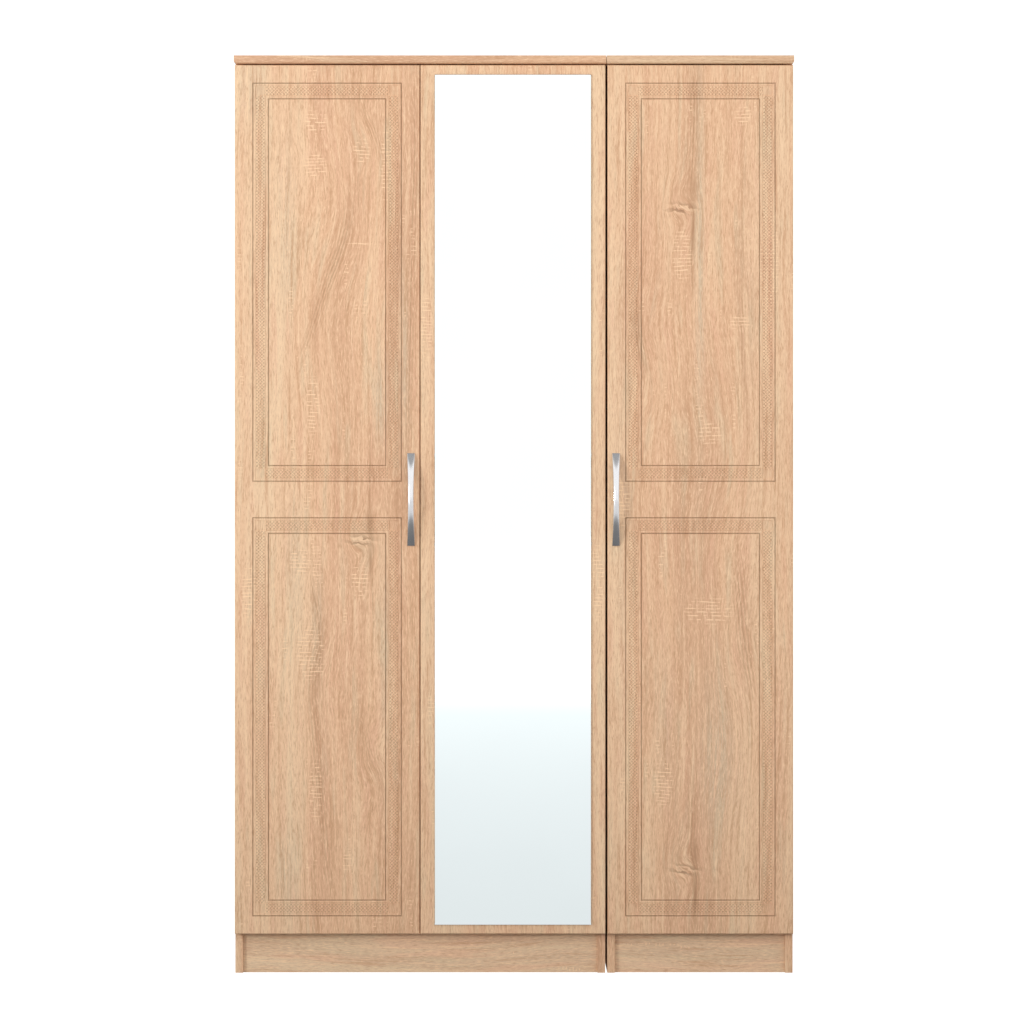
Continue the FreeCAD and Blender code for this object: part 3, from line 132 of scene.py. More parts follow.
class WardrobeSizes(bpy.types.PropertyGroup):
    """Sizes of the doors' decoration and of the handles."""

    edge_round: bpy.props.FloatProperty(
        name="Door edge", description="Radius of the doors' front edges",
        default=3 * MM, unit="LENGTH")
    frame_margin: bpy.props.FloatProperty(
        name="Frame margin", description="Door edge to the outer groove",
        default=35 * MM, unit="LENGTH")
    groove_width: bpy.props.FloatProperty(
        name="Groove width", description="Width of the V grooves round a panel",
        default=2.4 * MM, unit="LENGTH")
    groove_depth: bpy.props.FloatProperty(
        name="Groove depth", description="Depth of the V grooves round a panel",
        default=1.3 * MM, unit="LENGTH")
    strip_width: bpy.props.FloatProperty(
        name="Strip", description="Flat strip between the outer groove and the lattice",
        default=3.5 * MM, unit="LENGTH")
    band_width: bpy.props.FloatProperty(
        name="Lattice band", description="Width of the lattice band",
        default=20.4 * MM, unit="LENGTH")
    band_depth: bpy.props.FloatProperty(
        name="Lattice depth", description="Depth of the lattice's diamond pits",
        default=0.9 * MM, unit="LENGTH")
    lattice_pitch: bpy.props.FloatProperty(
        name="Lattice pitch", description="Corner to corner across a diamond pit",
        default=6.8 * MM, unit="LENGTH")
    rib_width: bpy.props.FloatProperty(
        name="Rib", description="Width of the lattice's ribs",
        default=1.3 * MM, unit="LENGTH")
    bead_width: bpy.props.FloatProperty(
        name="Bead", description="Raised bead inside the lattice band",
        default=5.1 * MM, unit="LENGTH")
    top_round: bpy.props.FloatProperty(
        name="Top rounding", description="Radius of the tops' lower front and outer edges",
        default=5.5 * MM, unit="LENGTH")
    top_arris: bpy.props.FloatProperty(
        name="Top shaded arris", description="Chamfer along the tops' upper front edge",
        default=1.6 * MM, unit="LENGTH")
    handle_rise: bpy.props.FloatProperty(
        name="Handle rise", description="Door face to the handle's highest point",
        default=28 * MM, unit="LENGTH")
    handle_clear: bpy.props.FloatProperty(
        name="Finger gap", description="Door face to the underside of the bow",
        default=22 * MM, unit="LENGTH")
    handle_waist: bpy.props.FloatProperty(
        name="Handle waist", description="Width of the handle at its middle",
        default=11 * MM, unit="LENGTH")
    handle_crown: bpy.props.FloatProperty(
        name="Handle crown", description="How much the handle's face bulges across its width",
        default=1.8 * MM, unit="LENGTH")


class WardrobeColours(bpy.types.PropertyGroup):
    """Colours of the finishes."""

    pale: bpy.props.FloatVectorProperty(
        name="Pale", description="Straw-coloured bands of the oak", size=3, subtype="COLOR",
        min=0, max=1, default=(0.885, 0.622, 0.396))
    warm: bpy.props.FloatVectorProperty(
        name="Warm", description="Peach ground of the oak", size=3, subtype="COLOR",
        min=0, max=1, default=(0.825, 0.505, 0.306))
    deep: bpy.props.FloatVectorProperty(
        name="Deep", description="Darker, pinker bands of the oak", size=3, subtype="COLOR",
        min=0, max=1, default=(0.69, 0.402, 0.243))
    silver: bpy.props.FloatVectorProperty(
        name="Silver", description="Tint of the silvered glass", size=3, subtype="COLOR",
        min=0, max=1, default=(0.86, 0.93, 0.94))
    nickel: bpy.props.FloatVectorProperty(
        name="Nickel", description="Satin nickel of the handles", size=3, subtype="COLOR",
        min=0, max=1, default=(0.78, 0.78, 0.79))


def sizes():
    return bpy.context.scene.wardrobe_sizes


def colours():
    return bpy.context.scene.wardrobe_colours


# Node trees

class Tree:
    """The node tree of a material or of the world, built one short call at a time."""

    def __init__(self, owner):
        self.owner = owner
        owner.use_nodes = True
        self.nodes = owner.node_tree.nodes
        self.links = owner.node_tree.links
        self.shader = self.nodes.get("Principled BSDF")

    def feed(self, socket, value):
        """Links a socket to another node, or sets its value."""
        if isinstance(value, bpy.types.NodeSocket):
            self.links.new(value, socket)
        elif value is not None:
            socket.default_value = value

    def surface(self, **values):
        for name, value in values.items():
            self.feed(self.shader.inputs[name.replace("_", " ")], value)

    def place(self, offset=(0, 0, 0), turn=(0, 0, 0), scale=(1, 1, 1)):
        """Object coordinates, moved, turned and scaled."""
        source = self.nodes.new("ShaderNodeTexCoord")
        mapping = self.nodes.new("ShaderNodeMapping")
        self.links.new(source.outputs["Object"], mapping.inputs["Vector"])
        mapping.inputs["Location"].default_value = offset
        mapping.inputs["Rotation"].default_value = turn
        mapping.inputs["Scale"].default_value = scale
        return mapping.outputs["Vector"]

    def stretch(self, vector, scale, offset=(0, 0, 0)):
        mapping = self.nodes.new("ShaderNodeMapping")
        self.links.new(vector, mapping.inputs["Vector"])
        mapping.inputs["Location"].default_value = offset
        mapping.inputs["Scale"].default_value = scale
        return mapping.outputs["Vector"]

    def noise(self, vector, detail=2.0, roughness=0.5):
        """Noise with about one feature for each unit of the vector."""
        node = self.nodes.new("ShaderNodeTexNoise")
        self.links.new(vector, node.inputs["Vector"])
        node.inputs["Scale"].default_value = 1.0
        node.inputs["Detail"].default_value = detail
        node.inputs["Roughness"].default_value = roughness
        return node.outputs["Fac"]

    def split(self, vector):
        node = self.nodes.new("ShaderNodeSeparateXYZ")
        self.links.new(vector, node.inputs[0])
        return node.outputs

    def join(self, x, y, z):
        node = self.nodes.new("ShaderNodeCombineXYZ")
        for socket, value in zip(node.inputs, (x, y, z)):
            self.feed(socket, value)
        return node.outputs[0]

    def math(self, operation, *values):
        return self.calculate("ShaderNodeMath", operation, values)[0]

    def vector(self, operation, *values):
        return self.calculate("ShaderNodeVectorMath", operation, values)

    def calculate(self, kind, operation, values):
        node = self.nodes.new(kind)
        node.operation = operation
        for socket, value in zip(node.inputs, values):
            self.feed(socket, value)
        return node.outputs

    def remap(self, value, low, high, to_low=0.0, to_high=1.0):
        node = self.nodes.new("ShaderNodeMapRange")
        node.interpolation_type = "SMOOTHSTEP"
        for socket, amount in zip(node.inputs[:5], (value, low, high, to_low, to_high)):
            self.feed(socket, amount)
        return node.outputs[0]

    def ramp(self, value, stops):
        node = self.nodes.new("ShaderNodeValToRGB")
        elements = node.color_ramp.elements
        while len(elements) < len(stops):
            elements.new(1.0)
        for element, (position, colour) in zip(elements, stops):
            element.position = position
            element.color = (*colour, 1)
        self.links.new(value, node.inputs[0])
        return node.outputs["Color"]

    def mix(self, factor, first, second):
        node = self.nodes.new("ShaderNodeMix")
        node.data_type = "RGBA"
        self.feed(node.inputs["Factor"], factor)
        for socket, value in ((node.inputs[6], first), (node.inputs[7], second)):
            self.feed(socket, (*value, 1) if isinstance(value, tuple) else value)
        return node.outputs[2]

    def bump(self, height, distance, strength=1.0):
        node = self.nodes.new("ShaderNodeBump")
        node.inputs["Strength"].default_value = strength
        node.inputs["Distance"].default_value = distance
        self.links.new(height, node.inputs["Height"])
        self.links.new(node.outputs["Normal"], self.shader.inputs["Normal"])


def shade(colour, factor):
    return tuple(channel * factor for channel in colour)


LINE_BROWN = (0.61, 0.33, 0.178)
PINK_DRIFT = (0.84, 0.49, 0.315)
OLIVE_DRIFT = (0.73, 0.575, 0.375)
OLIVE_BOARD = (0.70, 0.565, 0.39)
TINTS = ((0.69, 0.565, 0.395), (0.765, 0.43, 0.27))

GRAIN_TURNS = {
    "Z": (0, 0, 0),
    "X": (0, math.radians(90), 0),
}

# Noise in the wood: features per metre across, through and along the board, then detail and roughness.
WOOD_NOISES = {
    "wander": ((5, 5, 1.4), 2.0, 0.5),
    "bands": ((26, 26, 1.3), 2.5, 0.6),
    "drift": ((48, 48, 5), 2.0, 0.5),
    "lines": ((150, 150, 4.5), 3.0, 0.65),
    "fibres": ((640, 640, 72), 3.0, 0.7),
    "pores": ((1000, 1000, 110), 2.0, 0.6),
    "flame lines": ((90, 90, 12), 2.0, 0.5),
    "knot lines": ((90, 90, 90), 3.0, 0.5),
    "saw wobble": ((9, 9, 14), 2.0, 0.5),
    "saw clusters": ((34, 34, 7), 2.0, 0.6),
    "saw breaks": ((110, 110, 190), 1.5, 0.5),
}

# What a door's print shows, in metres. Across is from the door's left edge, along from its foot.
# streaks: (across, 0 deep to 1 pale), from edge to edge; knots: (across, along, size);
# leans: (across, along, half width, half length, slope) where the grain runs aslant;
# saws: (across, along, half width, half length) where saw marks lie close;
# tints: (across, along, half width, half length, hue, strength), hue 0 olive and 1 pink;
# flames: (across and along of the foot, across and along of the tip, bow, half width, strength).
PRINTS = {
    "left_door": {
        "streaks": [(0, 0.9), (0.11, 0.9), (0.16, 0.4), (0.24, 0.5), (0.32, 0.15), (0.366, 0.3)],
        "knots": [(0.249, 0.779, 0.016)],
        "leans": [
            (0.205, 1.330, 0.055, 0.170, 0.30), (0.262, 1.590, 0.022, 0.060, -0.38),
            (0.275, 0.325, 0.025, 0.060, -0.40), (0.165, 0.560, 0.040, 0.110, 0.22),
        ],
        "saws": [
            (0.161, 1.609, 0.022, 0.028), (0.161, 1.520, 0.024, 0.026),
            (0.252, 1.549, 0.018, 0.026), (0.252, 1.364, 0.040, 0.005),
            (0.155, 1.046, 0.014, 0.060), (0.130, 0.738, 0.022, 0.030),
            (0.030, 0.672, 0.018, 0.062), (0.248, 0.700, 0.018, 0.038),
            (0.150, 0.556, 0.030, 0.055), (0.160, 0.285, 0.014, 0.062),
            (0.300, 1.520, 0.012, 0.080),
        ],
        "tints": [
            (0.036, 1.690, 0.030, 0.070, 0, 0.55), (0.102, 1.400, 0.016, 0.180, 0, 0.55),
            (0.052, 1.330, 0.014, 0.200, 1, 0.65), (0.176, 1.640, 0.014, 0.120, 1, 0.70),
            (0.231, 1.430, 0.030, 0.070, 1, 0.45), (0.288, 1.060, 0.014, 0.090, 0, 0.90),
            (0.352, 1.350, 0.010, 0.420, 1, 0.80), (0.337, 1.130, 0.008, 0.170, 0, 0.80),
            (0.165, 0.610, 0.012, 0.110, 0, 0.75), (0.200, 0.650, 0.022, 0.260, 1, 0.60),
            (0.176, 0.300, 0.012, 0.260, 1, 0.75), (0.121, 0.740, 0.020, 0.130, 0, 0.45),
            (0.107, 0.120, 0.022, 0.090, 0, 0.55), (0.298, 0.560, 0.010, 0.230, 0, 0.55),
            (0.272, 0.880, 0.030, 0.080, 1, 0.60), (0.060, 0.420, 0.012, 0.200, 1, 0.50),
        ],
        "flames": [
            (0.140, 1.150, 0.216, 1.455, 0.012, 0.014, 0.70),
            (0.150, 0.700, 0.178, 0.480, 0.004, 0.007, 0.75),
            (0.160, 0.610, 0.190, 0.100, -0.006, 0.012, 0.60),
            (0.246, 1.660, 0.290, 1.520, 0.003, 0.012, 0.45),
            (0.250, 0.430, 0.292, 0.270, 0.004, 0.012, 0.45),
            (0.345, 0.900, 0.356, 1.700, 0.004, 0.008, 0.70),
            (0.268, 0.800, 0.272, 1.000, 0.000, 0.005, 0.65),
            (0.276, 0.600, 0.270, 0.800, 0.000, 0.003, 0.60),
        ],
    },
    "right_door": {
        "streaks": [
            (0, 0.7), (0.06, 0.5), (0.13, 0.4), (0.17, 0.15), (0.22, 0.35), (0.28, 0.65),
            (0.366, 0.7),
        ],
        "knots": [(0.148, 1.436, 0.017), (0.153, 0.127, 0.016)],
        "leans": [
            (0.085, 1.150, 0.040, 0.090, -0.30), (0.210, 0.850, 0.050, 0.140, 0.22),
            (0.250, 0.480, 0.050, 0.160, -0.20),
        ],
        "saws": [
            (0.148, 1.343, 0.020, 0.055), (0.263, 1.210, 0.022, 0.016),
            (0.203, 0.990, 0.024, 0.024), (0.269, 1.620, 0.018, 0.020),
            (0.030, 0.860, 0.016, 0.060), (0.320, 1.330, 0.020, 0.110),
            (0.200, 0.640, 0.050, 0.030), (0.110, 0.300, 0.020, 0.050),
        ],
        "tints": [
            (0.183, 1.350, 0.009, 0.360, 0, 0.85), (0.080, 1.280, 0.036, 0.220, 1, 0.55),
            (0.322, 1.300, 0.012, 0.330, 1, 0.65), (0.282, 1.250, 0.022, 0.300, 0, 0.30),
            (0.218, 0.350, 0.034, 0.160, 0, 0.75), (0.268, 0.640, 0.014, 0.200, 1, 0.75),
            (0.128, 0.770, 0.050, 0.070, 1, 0.50), (0.074, 0.640, 0.012, 0.090, 1, 0.60),
            (0.163, 0.200, 0.020, 0.170, 1, 0.60), (0.030, 0.900, 0.016, 0.400, 0, 0.35),
            (0.340, 0.300, 0.016, 0.300, 1, 0.45), (0.110, 0.420, 0.020, 0.140, 0, 0.40),
        ],
        "flames": [
            (0.170, 1.460, 0.172, 1.716, 0.002, 0.012, 0.80),
            (0.253, 0.760, 0.285, 0.480, 0.004, 0.014, 0.70),
            (0.060, 1.250, 0.070, 1.090, 0.004, 0.010, 0.65),
            (0.172, 1.270, 0.168, 1.440, 0.000, 0.004, 0.75),
            (0.176, 0.020, 0.166, 0.300, 0.000, 0.008, 0.75),
            (0.255, 1.000, 0.262, 1.400, 0.006, 0.010, 0.40),
        ],
    },
    "mirror_door": {
        "streaks": [(0, 0.8), (0.18, 0.5), (0.366, 0.85)],
        "saws": [(0.012, 1.200, 0.012, 0.070), (0.352, 0.700, 0.012, 0.080)],
    },
}


def oak(name, grain="Z", seed=0.0, tone=1.0, print_of=None, corner=(0, 0), saw=1.0, olive=0.0):
    """Light sawn oak: soft streaks, fine short fibres, pores and pale saw marks across the grain.

    A named print adds its streaks, knots, slanting grain, tints, flames and saw marks, placed from
    the corner.
    """
    tree = Tree(bpy.data.materials.new(name))
    details = PRINTS.get(print_of, {})
    pale = colours().pale
    place = tree.place(offset=(-corner[0], 0, -corner[1]), turn=GRAIN_TURNS[grain])
    across, depth, along = tree.split(place)
    sideways = stray(tree, place, seed, details)
    bent = tree.math("ADD", across, sideways)
    shift = seed_shift(seed)
    grained = tree.join(tree.math("ADD", bent, shift[0]), depth, tree.math("ADD", along, shift[2]))
    lines = wood_noise(tree, grained, "lines")
    fibres = wood_noise(tree, grained, "fibres")
    pits = tree.remap(wood_noise(tree, grained, "pores"), 0.61, 0.70)
    marks = saw_marks(tree, place, details.get("saws", ()), seed)

    ground = streaked_ground(tree, bent, grained, details, tone)
    if olive:
        ground = tree.mix(olive, ground, shade(OLIVE_BOARD, tone))
    drift = wood_noise(tree, grained, "drift")
    ground = veil(tree, ground, drift, 0.52, 0.70, 0.45, shade(PINK_DRIFT, tone))
    ground = veil(tree, ground, drift, 0.48, 0.30, 0.45, shade(OLIVE_DRIFT, tone))
    for tint in details.get("tints", ()):
        ground = tinted(tree, place, ground, lines, tint, tone)
    ground = veil(tree, ground, lines, 0.51, 0.70, 0.60, shade(LINE_BROWN, tone))
    ground = veil(tree, ground, lines, 0.48, 0.28, 0.66, shade(pale, tone * 1.08))
    for flame in details.get("flames", ()):
        strands = flame_lines(tree, place, sideways, flame)
        ground = tree.mix(strands, ground, shade(LINE_BROWN, tone * 0.82))
    ground = veil(tree, ground, fibres, 0.50, 0.70, 0.66, shade(LINE_BROWN, tone * 0.92))
    ground = veil(tree, ground, fibres, 0.50, 0.30, 0.66, shade(pale, tone * 1.14))
    ground = tree.mix(tree.math("MULTIPLY", pits, 0.12), ground, shade(LINE_BROWN, tone * 0.75))
    ground = tree.mix(tree.math("MULTIPLY", marks, 0.72 * saw), ground, shade(pale, tone * 1.20))
    for knot in details.get("knots", ()):
        ground = knot_colour(tree, place, ground, *knot, tone)

    tree.surface(Base_Color=ground, Specular_IOR_Level=0.32)
    tree.surface(Roughness=tree.remap(fibres, 0.3, 0.7, 0.42, 0.58))
    relief = tree.math("SUBTRACT", fibres, tree.math("MULTIPLY", pits, 0.8))
    relief = tree.math("ADD", relief, tree.math("MULTIPLY", marks, 0.5))
    tree.bump(relief, 0.12 * MM, 0.7)
    return tree.owner


def wood_noise(tree, vector, kind):
    """One of the wood's own noises along the given coordinates."""
    scale, detail, roughness = WOOD_NOISES[kind]
    return tree.noise(tree.stretch(vector, scale), detail, roughness)


def seed_shift(seed):
    """Where in the endless grain a board is cut."""
    return (seed * 1.37, 0, seed * 2.11)


def stray(tree, place, seed, details):
    """How far the grain strays sideways: a slow wander, slanting stretches, bends round knots."""
    seeded = tree.vector("ADD", place, seed_shift(seed))["Vector"]
    sideways = tree.math("SUBTRACT", wood_noise(tree, seeded, "wander"), 0.5)
    sideways = tree.math("MULTIPLY", sideways, 50 * MM)
    along = tree.split(place)[2]
    for centre_across, centre_along, wide, tall, slope in details.get("leans", ()):
        mask = patch(tree, place, centre_across, centre_along, wide, tall)
        push = tree.math("MULTIPLY", tree.math("SUBTRACT", along, centre_along), -slope)
        sideways = tree.math("MULTIPLY_ADD", mask, push, sideways)
    for knot in details.get("knots", ()):
        sideways = tree.math("ADD", sideways, bend_round_knot(tree, place, *knot))
    return sideways


def streaked_ground(tree, bent, grained, details, tone):
    """Bands from deep to pale, which keep to the print's own streaks where it has some."""
    palette = colours()
    level = tree.remap(wood_noise(tree, grained, "bands"), 0.30, 0.70)
    if "streaks" in details:
        width = details["streaks"][-1][0]
        stops = [(position / width, (value,) * 3) for position, value in details["streaks"]]
        broad = tree.ramp(tree.math("DIVIDE", bent, width), stops)
        level = tree.math("ADD", tree.math("MULTIPLY", level, 0.45), tree.math("MULTIPLY", broad, 0.85))
        level = tree.math("SUBTRACT", level, 0.13)
    return tree.ramp(level, [
        (0.0, shade(palette.deep, tone)),
        (0.5, shade(palette.warm, tone)),
        (1.0, shade(palette.pale, tone)),
    ])


def veil(tree, ground, noise, start, end, strength, colour):
    """Lays a colour over the ground, from none where the noise is at start to its full strength at end."""
    return tree.mix(tree.remap(noise, start, end, 0.0, strength), ground, colour)


def tinted(tree, place, ground, lines, tint, tone):
    """An olive or pink stretch, streaky along the grain."""
    across, along, wide, tall, hue, strength = tint
    mask = patch(tree, place, across, along, wide, tall)
    streaky = tree.remap(lines, 0.38, 0.62, 0.35 * strength, strength)
    return tree.mix(tree.math("MULTIPLY", mask, streaky), ground, shade(TINTS[hue], tone))


def flame_lines(tree, place, sideways, flame):
    """Nested lines that follow a bowed curve from a foot to a tip."""
    foot_across, foot_along, tip_across, tip_along, bow, wide, strength = flame
    across, _, along = tree.split(place)
    part = tree.math("DIVIDE", tree.math("SUBTRACT", along, foot_along), tip_along - foot_along)
    centre = tree.math("MULTIPLY_ADD", part, tip_across - foot_across, foot_across)
    swell = tree.math("MULTIPLY", part, tree.math("SUBTRACT", 1.0, part))
    centre = tree.math("MULTIPLY_ADD", swell, 4 * bow, centre)
    drift = tree.math("MULTIPLY_ADD", sideways, 0.5, across)
    off = tree.math("SUBTRACT", drift, centre)
    ends = tree.math("POWER", tree.math("ABSOLUTE", tree.math("MULTIPLY_ADD", part, 2.0, -1.0)), 4.0)
    away = tree.math("POWER", tree.math("ABSOLUTE", tree.math("DIVIDE", off, wide)), 2.0)
    mask = tree.math("EXPONENT", tree.math("MULTIPLY", tree.math("ADD", ends, away), -1.0))
    rough = wood_noise(tree, place, "flame lines")
    phase = tree.math("MULTIPLY_ADD", off, 1050.0, tree.math("MULTIPLY", rough, 5.0))
    lined = tree.remap(tree.math("SINE", phase), -0.3, 0.8, 0.30 * strength, strength)
    return tree.math("MULTIPLY", mask, lined)


def patch(tree, place, across, along, wide, tall):
    """A soft oval, 1 in its middle and 0 outside."""
    scale = (1 / wide, 0, 1 / tall)
    centred = tree.stretch(place, scale, offset=(-across / wide, 0, -along / tall))
    square = tree.vector("DOT_PRODUCT", centred, centred)["Value"]
    return tree.math("EXPONENT", tree.math("MULTIPLY", square, -1.0))


def bend_round_knot(tree, place, knot_across, knot_along, size):
    """How far the grain is pushed apart round a knot."""
    across, _, along = tree.split(place)
    mask = patch(tree, place, knot_across, knot_along, size * 1.7, size * 2.6)
    off_across = tree.math("SUBTRACT", across, knot_across)
    off_along = tree.math("SUBTRACT", along, knot_along)
    pinch = tree.math("MULTIPLY", off_across, -0.8)
    push = tree.math("MULTIPLY_ADD", off_along, 0.55, pinch)
    return tree.math("MULTIPLY", mask, push)


def knot_colour(tree, place, ground, knot_across, knot_along, size, tone):
    """A small knot: pale and dark lines across the grain, with dark grain above and below its end."""
    across, _, along = tree.split(place)
    off_across = tree.math("DIVIDE", tree.math("SUBTRACT", across, knot_across), size)
    off_along = tree.math("DIVIDE", tree.math("SUBTRACT", along, knot_along), size)
    wobble = wood_noise(tree, place, "knot lines")
    slope = tree.math("MULTIPLY", off_across, 0.22)
    height = tree.math("ADD", tree.math("ADD", off_along, slope), tree.math("MULTIPLY", wobble, 1.3))
    end_across = knot_across + size * 1.25
    for rise, wide, tall, strength in ((2.1, 0.42, 1.7, 0.60), (-2.6, 0.22, 2.4, 0.80)):
        plume = patch(tree, place, end_across, knot_along + size * rise, size * wide, size * tall)
        ground = tree.mix(tree.math("MULTIPLY", plume, strength), ground, shade(LINE_BROWN, tone * 0.80))
    eye = patch(tree, place, knot_across, knot_along, size * 1.5, size * 0.62)
    dark = tree.remap(tree.math("SINE", tree.math("MULTIPLY", height, 6.6)), 0.0, 0.8)
    pale = tree.remap(tree.math("SINE", tree.math("MULTIPLY_ADD", height, 6.6, 2.4)), 0.3, 0.9)
    dark = tree.math("MULTIPLY", tree.math("MULTIPLY", dark, eye), 0.9)
    ground = tree.mix(dark, ground, shade(LINE_BROWN, tone * 0.62))
    pale = tree.math("MULTIPLY", tree.math("MULTIPLY", pale, eye), 0.5)
    return tree.mix(pale, ground, shade(colours().pale, tone * 1.18))


def saw_marks(tree, place, places, seed):
    """Pale lines across the grain, in clusters like the rungs of a ladder."""
    across, depth, along = tree.split(place)
    shifted = tree.join(tree.math("ADD", across, seed), depth, tree.math("ADD", along, seed * 0.7))
    wobble = wood_noise(tree, shifted, "saw wobble")
    phase = tree.math("ADD", tree.math("MULTIPLY", along, 860.0), tree.math("MULTIPLY", wobble, 14.0))
    rungs = tree.remap(tree.math("SINE", phase), 0.35, 0.95)
    scattered = wood_noise(tree, shifted, "saw clusters")
    cover = tree.math("MULTIPLY", tree.remap(scattered, 0.61, 0.69), 0.5)
    for centre_across, centre_along, wide, tall in places:
        cover = tree.math("MAXIMUM", cover, patch(tree, place, centre_across, centre_along, wide, tall))
    broken = wood_noise(tree, shifted, "saw breaks")
    cover = tree.math("MULTIPLY", tree.remap(cover, 0.25, 0.60), tree.remap(broken, 0.38, 0.58))
    return tree.math("MULTIPLY", rungs, cover)


# Noise along a metal's brushing, in features per metre along each axis.
BRUSHINGS = {"": (300, 300, 300), "X": (12, 700, 700), "Z": (700, 700, 12)}


def metal(name, colour, roughness, brushed="", wear=0.06):
    """Plated metal with faint brushing and uneven gloss."""
    tree = Tree(bpy.data.materials.new(name))
    lines = tree.noise(tree.place(scale=BRUSHINGS[brushed]), 3.0, 0.6)
    clouds = tree.noise(tree.place(scale=(40, 40, 40)))
    tree.surface(Base_Color=veil(tree, colour, clouds, 0.35, 0.65, 0.5, shade(colour, 0.9)))
    tree.surface(Metallic=1.0)
    tree.surface(Roughness=tree.remap(lines, 0.3, 0.7, roughness - wear, roughness + wear))
    tree.bump(lines, 0.02 * MM, 0.4)
    return tree.owner


def plastic(name, colour, roughness, wear=0.06):
    """Moulded plastic with a fine spark-eroded grain."""
    tree = Tree(bpy.data.materials.new(name))
    grain = tree.noise(tree.place(scale=(900, 900, 900)))
    clouds = tree.noise(tree.place(scale=(25, 25, 25)))
    mottled = veil(tree, shade(colour, 0.94), clouds, 0.3, 0.7, 1.0, shade(colour, 1.04))
    tree.surface(Base_Color=mottled)
    tree.surface(Roughness=tree.remap(grain, 0.3, 0.7, roughness - wear, roughness + wear))
    tree.bump(grain, 0.04 * MM, 0.5)
    return tree.owner


def hardboard(name):
    """Thin board of mottled brown fibre."""
    tree = Tree(bpy.data.materials.new(name))
    fibres = tree.noise(tree.place(scale=(260, 260, 260)), 4.0, 0.7)
    flecks = tree.noise(tree.place(scale=(60, 60, 60)), 3.0, 0.6)
    colour = veil(tree, (0.60, 0.47, 0.33), fibres, 0.35, 0.65, 1.0, (0.70, 0.57, 0.42))
    colour = veil(tree, colour, flecks, 0.45, 0.75, 0.35, (0.50, 0.37, 0.25))
    tree.surface(Base_Color=colour, Roughness=0.72, Specular_IOR_Level=0.25)
    tree.bump(fibres, 0.1 * MM, 0.6)
    return tree.owner


def silvered_glass(name):
    """Float glass with a silvered back."""
    tree = Tree(bpy.data.materials.new(name))
    haze = tree.noise(tree.place(scale=(7, 7, 7)))
    silver = tuple(colours().silver)
    tinted_silver = veil(tree, silver, haze, 0.4, 0.7, 1.0, shade(silver, 0.992))
    tree.surface(Base_Color=tinted_silver, Metallic=1.0, Roughness=0.0)
    return tree.owner


# Mesh helpers

def new_piece(name, work, materials, body):
    """Turns a bmesh into an object of the scene that rides on a body."""
    bmesh.ops.remove_doubles(work, verts=work.verts, dist=TOUCHING)
    bmesh.ops.recalc_face_normals(work, faces=work.faces)
    mesh = bpy.data.meshes.new(name)
    work.to_mesh(mesh)
    work.free()
    piece = bpy.data.objects.new(name, mesh)
    bpy.context.scene.collection.objects.link(piece)
    for material in materials:
        mesh.materials.append(material)
    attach(piece, body)
    return piece


def block(work, low, high):
    """A box between two corners."""
    verts = bmesh.ops.create_cube(work, size=1.0)["verts"]
    bmesh.ops.scale(work, vec=high - low, verts=verts)
    bmesh.ops.translate(work, vec=(low + high) / 2, verts=verts)


def step(work, face, width, rise=0.0, material=None):
    """Insets a face and raises or sinks what is inside. The ring takes the material."""
    result = bmesh.ops.inset_individual(work, faces=[face], thickness=width, depth=rise,
                                        use_even_offset=True)
    if material is not None:
        for ring in result["faces"]:
            ring.material_index = material


def groove(work, face, width, depth, material):
    """A V groove all round a face."""
    step(work, face, width / 2, -depth, material)
    step(work, face, width / 2, depth, material)


def bead(work, face, width, rise):
    """A rounded ridge all round a face."""
    slices = 6
    for i in range(slices):
        start = math.sin(math.pi * i / slices)
        end = math.sin(math.pi * (i + 1) / slices)
        step(work, face, width / slices, (end - start) * rise)


def band_rings(low, high):
    """Upper and lower panel of a door: their outer rectangles on the door face."""
    middle = (low.z + high.z) / 2
    margin = sizes().frame_margin
    return [
        (low.x + margin, high.x - margin, base + margin, top - margin)
        for base, top in ((low.z, middle), (middle, high.z))
    ]


def bore_back(piece, node, body):
    """Drills the hinge cups' bores into a door's back."""
    cups = frame["nodes"][f"{body.split('_')[0]}_hinge_cups"]
    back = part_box(node)[1].y
    cup_low, cup_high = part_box(cups["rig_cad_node"])
    centre_x = (cup_low.x + cup_high.x) / 2
    floor = cup_low.y
    past = 1 * MM
    work = bmesh.new()
    for level in cup_levels(cups):
        middle = Vector((centre_x, (floor + back) / 2 + past, level))
        place = Matrix.Translation(middle) @ Matrix.Rotation(math.pi / 2, 4, "X")
        bmesh.ops.create_cone(work, cap_ends=True, segments=64, radius1=HINGE_BORE_RADIUS,
                              radius2=HINGE_BORE_RADIUS, depth=back - floor + 2 * past, matrix=place)
    mesh = bpy.data.meshes.new("cutter")
    work.to_mesh(mesh)
    work.free()
    cutter = bpy.data.objects.new("cutter", mesh)
    bpy.context.scene.collection.objects.link(cutter)
    modifier = piece.modifiers.new("bores", "BOOLEAN")
    modifier.operation = "DIFFERENCE"
    modifier.solver = "EXACT"
    modifier.object = cutter
    apply_modifiers(piece)
    bpy.data.objects.remove(cutter)


def cup_levels(cups):
    """The heights of the node's loose cups, to a tenth of a millimetre."""
    work = bmesh.new()
    work.from_mesh(cups.data)
    bmesh.ops.remove_doubles(work, verts=work.verts, dist=TOUCHING)
    left = set(work.verts)
    levels = set()
    while left:
        start = left.pop()
        heights = [start.co.z]
        front = [start]
        while front:
            vert = front.pop()
            for edge in vert.link_edges:
                other = edge.other_vert(vert)
                if other in left:
                    left.discard(other)
                    heights.append(other.co.z)
                    front.append(other)
        levels.add(round((min(heights) + max(heights)) / 2, 4))
    work.free()
    return sorted(levels)


